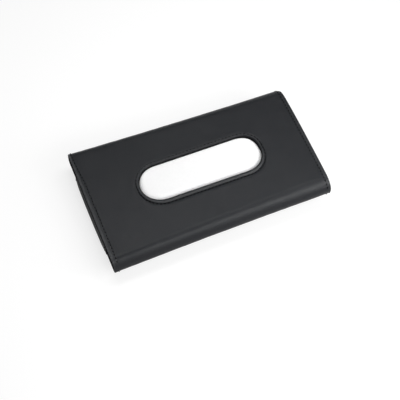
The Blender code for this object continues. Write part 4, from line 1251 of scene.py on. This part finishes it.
def makeStrip(name, path, centreX, roundStart, roundEnd, stands):
    # A flat section with rounded edges is carried along the path; at a free end its width closes in a quarter circle.
    step = np.gradient(path, axis=0)
    forward = step / np.linalg.norm(step, axis=1, keepdims=True)
    normal = np.stack([-forward[:, 1], forward[:, 0]], -1)
    s = np.concatenate([[0], np.cumsum(np.linalg.norm(np.diff(path, axis=0), axis=1))])
    corner = clip["corner"]
    fromEnd = np.full(len(s), corner)
    if roundStart:
        fromEnd = np.minimum(fromEnd, s)
    if roundEnd:
        fromEnd = np.minimum(fromEnd, s[-1] - s)
    rise = corner - fromEnd
    half = clip["width"] / 2 - corner + np.sqrt(np.clip(corner ** 2 - rise ** 2, 0, None))
    edge, thick = clip["edge"], clip["steel"] / 2
    turn = np.linspace(-np.pi / 2, np.pi / 2, 7)
    across = np.concatenate([np.cos(turn) * edge, -np.cos(turn) * edge])
    signs = np.concatenate([np.ones(7), -np.ones(7)])
    up = np.concatenate([np.sin(turn), -np.sin(turn)]) * thick
    x = centreX + signs * (half[:, None] - edge) + across
    place = path[:, None, :] + normal[:, None, :] * up[None, :, None]
    points = np.concatenate([x[..., None], place], -1)
    faces = list(gridFaces(*points.shape[:2], wrap=True))
    columns = points.shape[1]
    last = (len(path) - 1) * columns
    faces += [tuple(range(columns)), tuple(last + c for c in reversed(range(columns)))]
    return addPiece(name, points, faces, springSteel, "case" if "Base" in name else stands[0],
                    stands, closed=True, angle=35)


def densify(path, roundStart, roundEnd):
    # More rings where a free end's corners are rounded.
    s = np.concatenate([[0], np.cumsum(np.linalg.norm(np.diff(path, axis=0), axis=1))])
    extra = clip["corner"] * (1 - np.cos(np.linspace(0, np.pi / 2, 12)))
    places = [s[(s > (clip["corner"] if roundStart else -1)) & (s < s[-1] - (clip["corner"] if roundEnd else -1))]]
    places += [extra] if roundStart else []
    places += [s[-1] - extra] if roundEnd else []
    at = np.unique(np.concatenate(places))
    return np.stack([np.interp(at, s, path[:, k]) for k in range(2)], -1)


def lathe(name, profile, centre, material, body, stands, steps=56):
    # A (radius, height) profile turned about an upright axis.
    turn = np.arange(steps) / steps * 2 * np.pi
    profile = np.array(profile)
    points = np.stack([centre[0] + profile[:, :1] * np.cos(turn), centre[1] + profile[:, :1] * np.sin(turn),
                       np.repeat(profile[:, 1:], steps, 1)], -1)
    return addPiece(name, points, gridFaces(len(profile), steps, wrap=True), material, body, stands,
                    closed=True, angle=40)


def makeClips():
    base, arm = clipPaths()
    for side, label in ((-1, "left"), (1, "right")):
        x = side * clip["spacing"] / 2
        title = label.capitalize()
        makeStrip("clipBase" + title, densify(base, True, False), x, True, False, ["clip_base_" + label])
        makeStrip("clipArm" + title, densify(arm, False, True), x, False, True, ["clip_arm_" + label])
        for y, place in zip(rivet["places"], ("near", "far")):
            t = np.linspace(0, np.pi / 2, 10)
            rim = rivet["rim"]
            dome = np.stack([(rivet["head"] - rim * 0.4) * np.sin(t),
                             rivet["top"] - rim - (rivet["rise"] - rim) * np.cos(t)], -1)
            low = rivet["top"] - rim
            profile = [*dome, (rivet["head"], low + rim * 0.4), (rivet["head"] - rim * 0.3, rivet["top"]),
                       (rivet["shank"], rivet["top"]), (rivet["shank"], rivet["tail"]), (0, rivet["tail"])]
            lathe(f"rivet{title}{place.capitalize()}", profile, (x, y), springSteel, "case",
                  [f"rivet_{label}_{place}"])


makeClips()
print("clips are riveted on")


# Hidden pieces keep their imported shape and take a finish

def finishNode(name, material):
    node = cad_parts[name]
    node.data.materials.clear()
    node.data.materials.append(material)


for name in ("front_board", "back_board", "end_flap_board"):
    finishNode(name, greyCard)
for place in ("near", "far"):
    finishNode("flap_magnet_" + place, magnetPlate)
    finishNode("keeper_magnet_" + place, magnetPlate)
    for side in ("left", "right"):
        finishNode(f"rivet_washer_{side}_{place}", springSteel)
print("boards, magnets and washers have their finish")
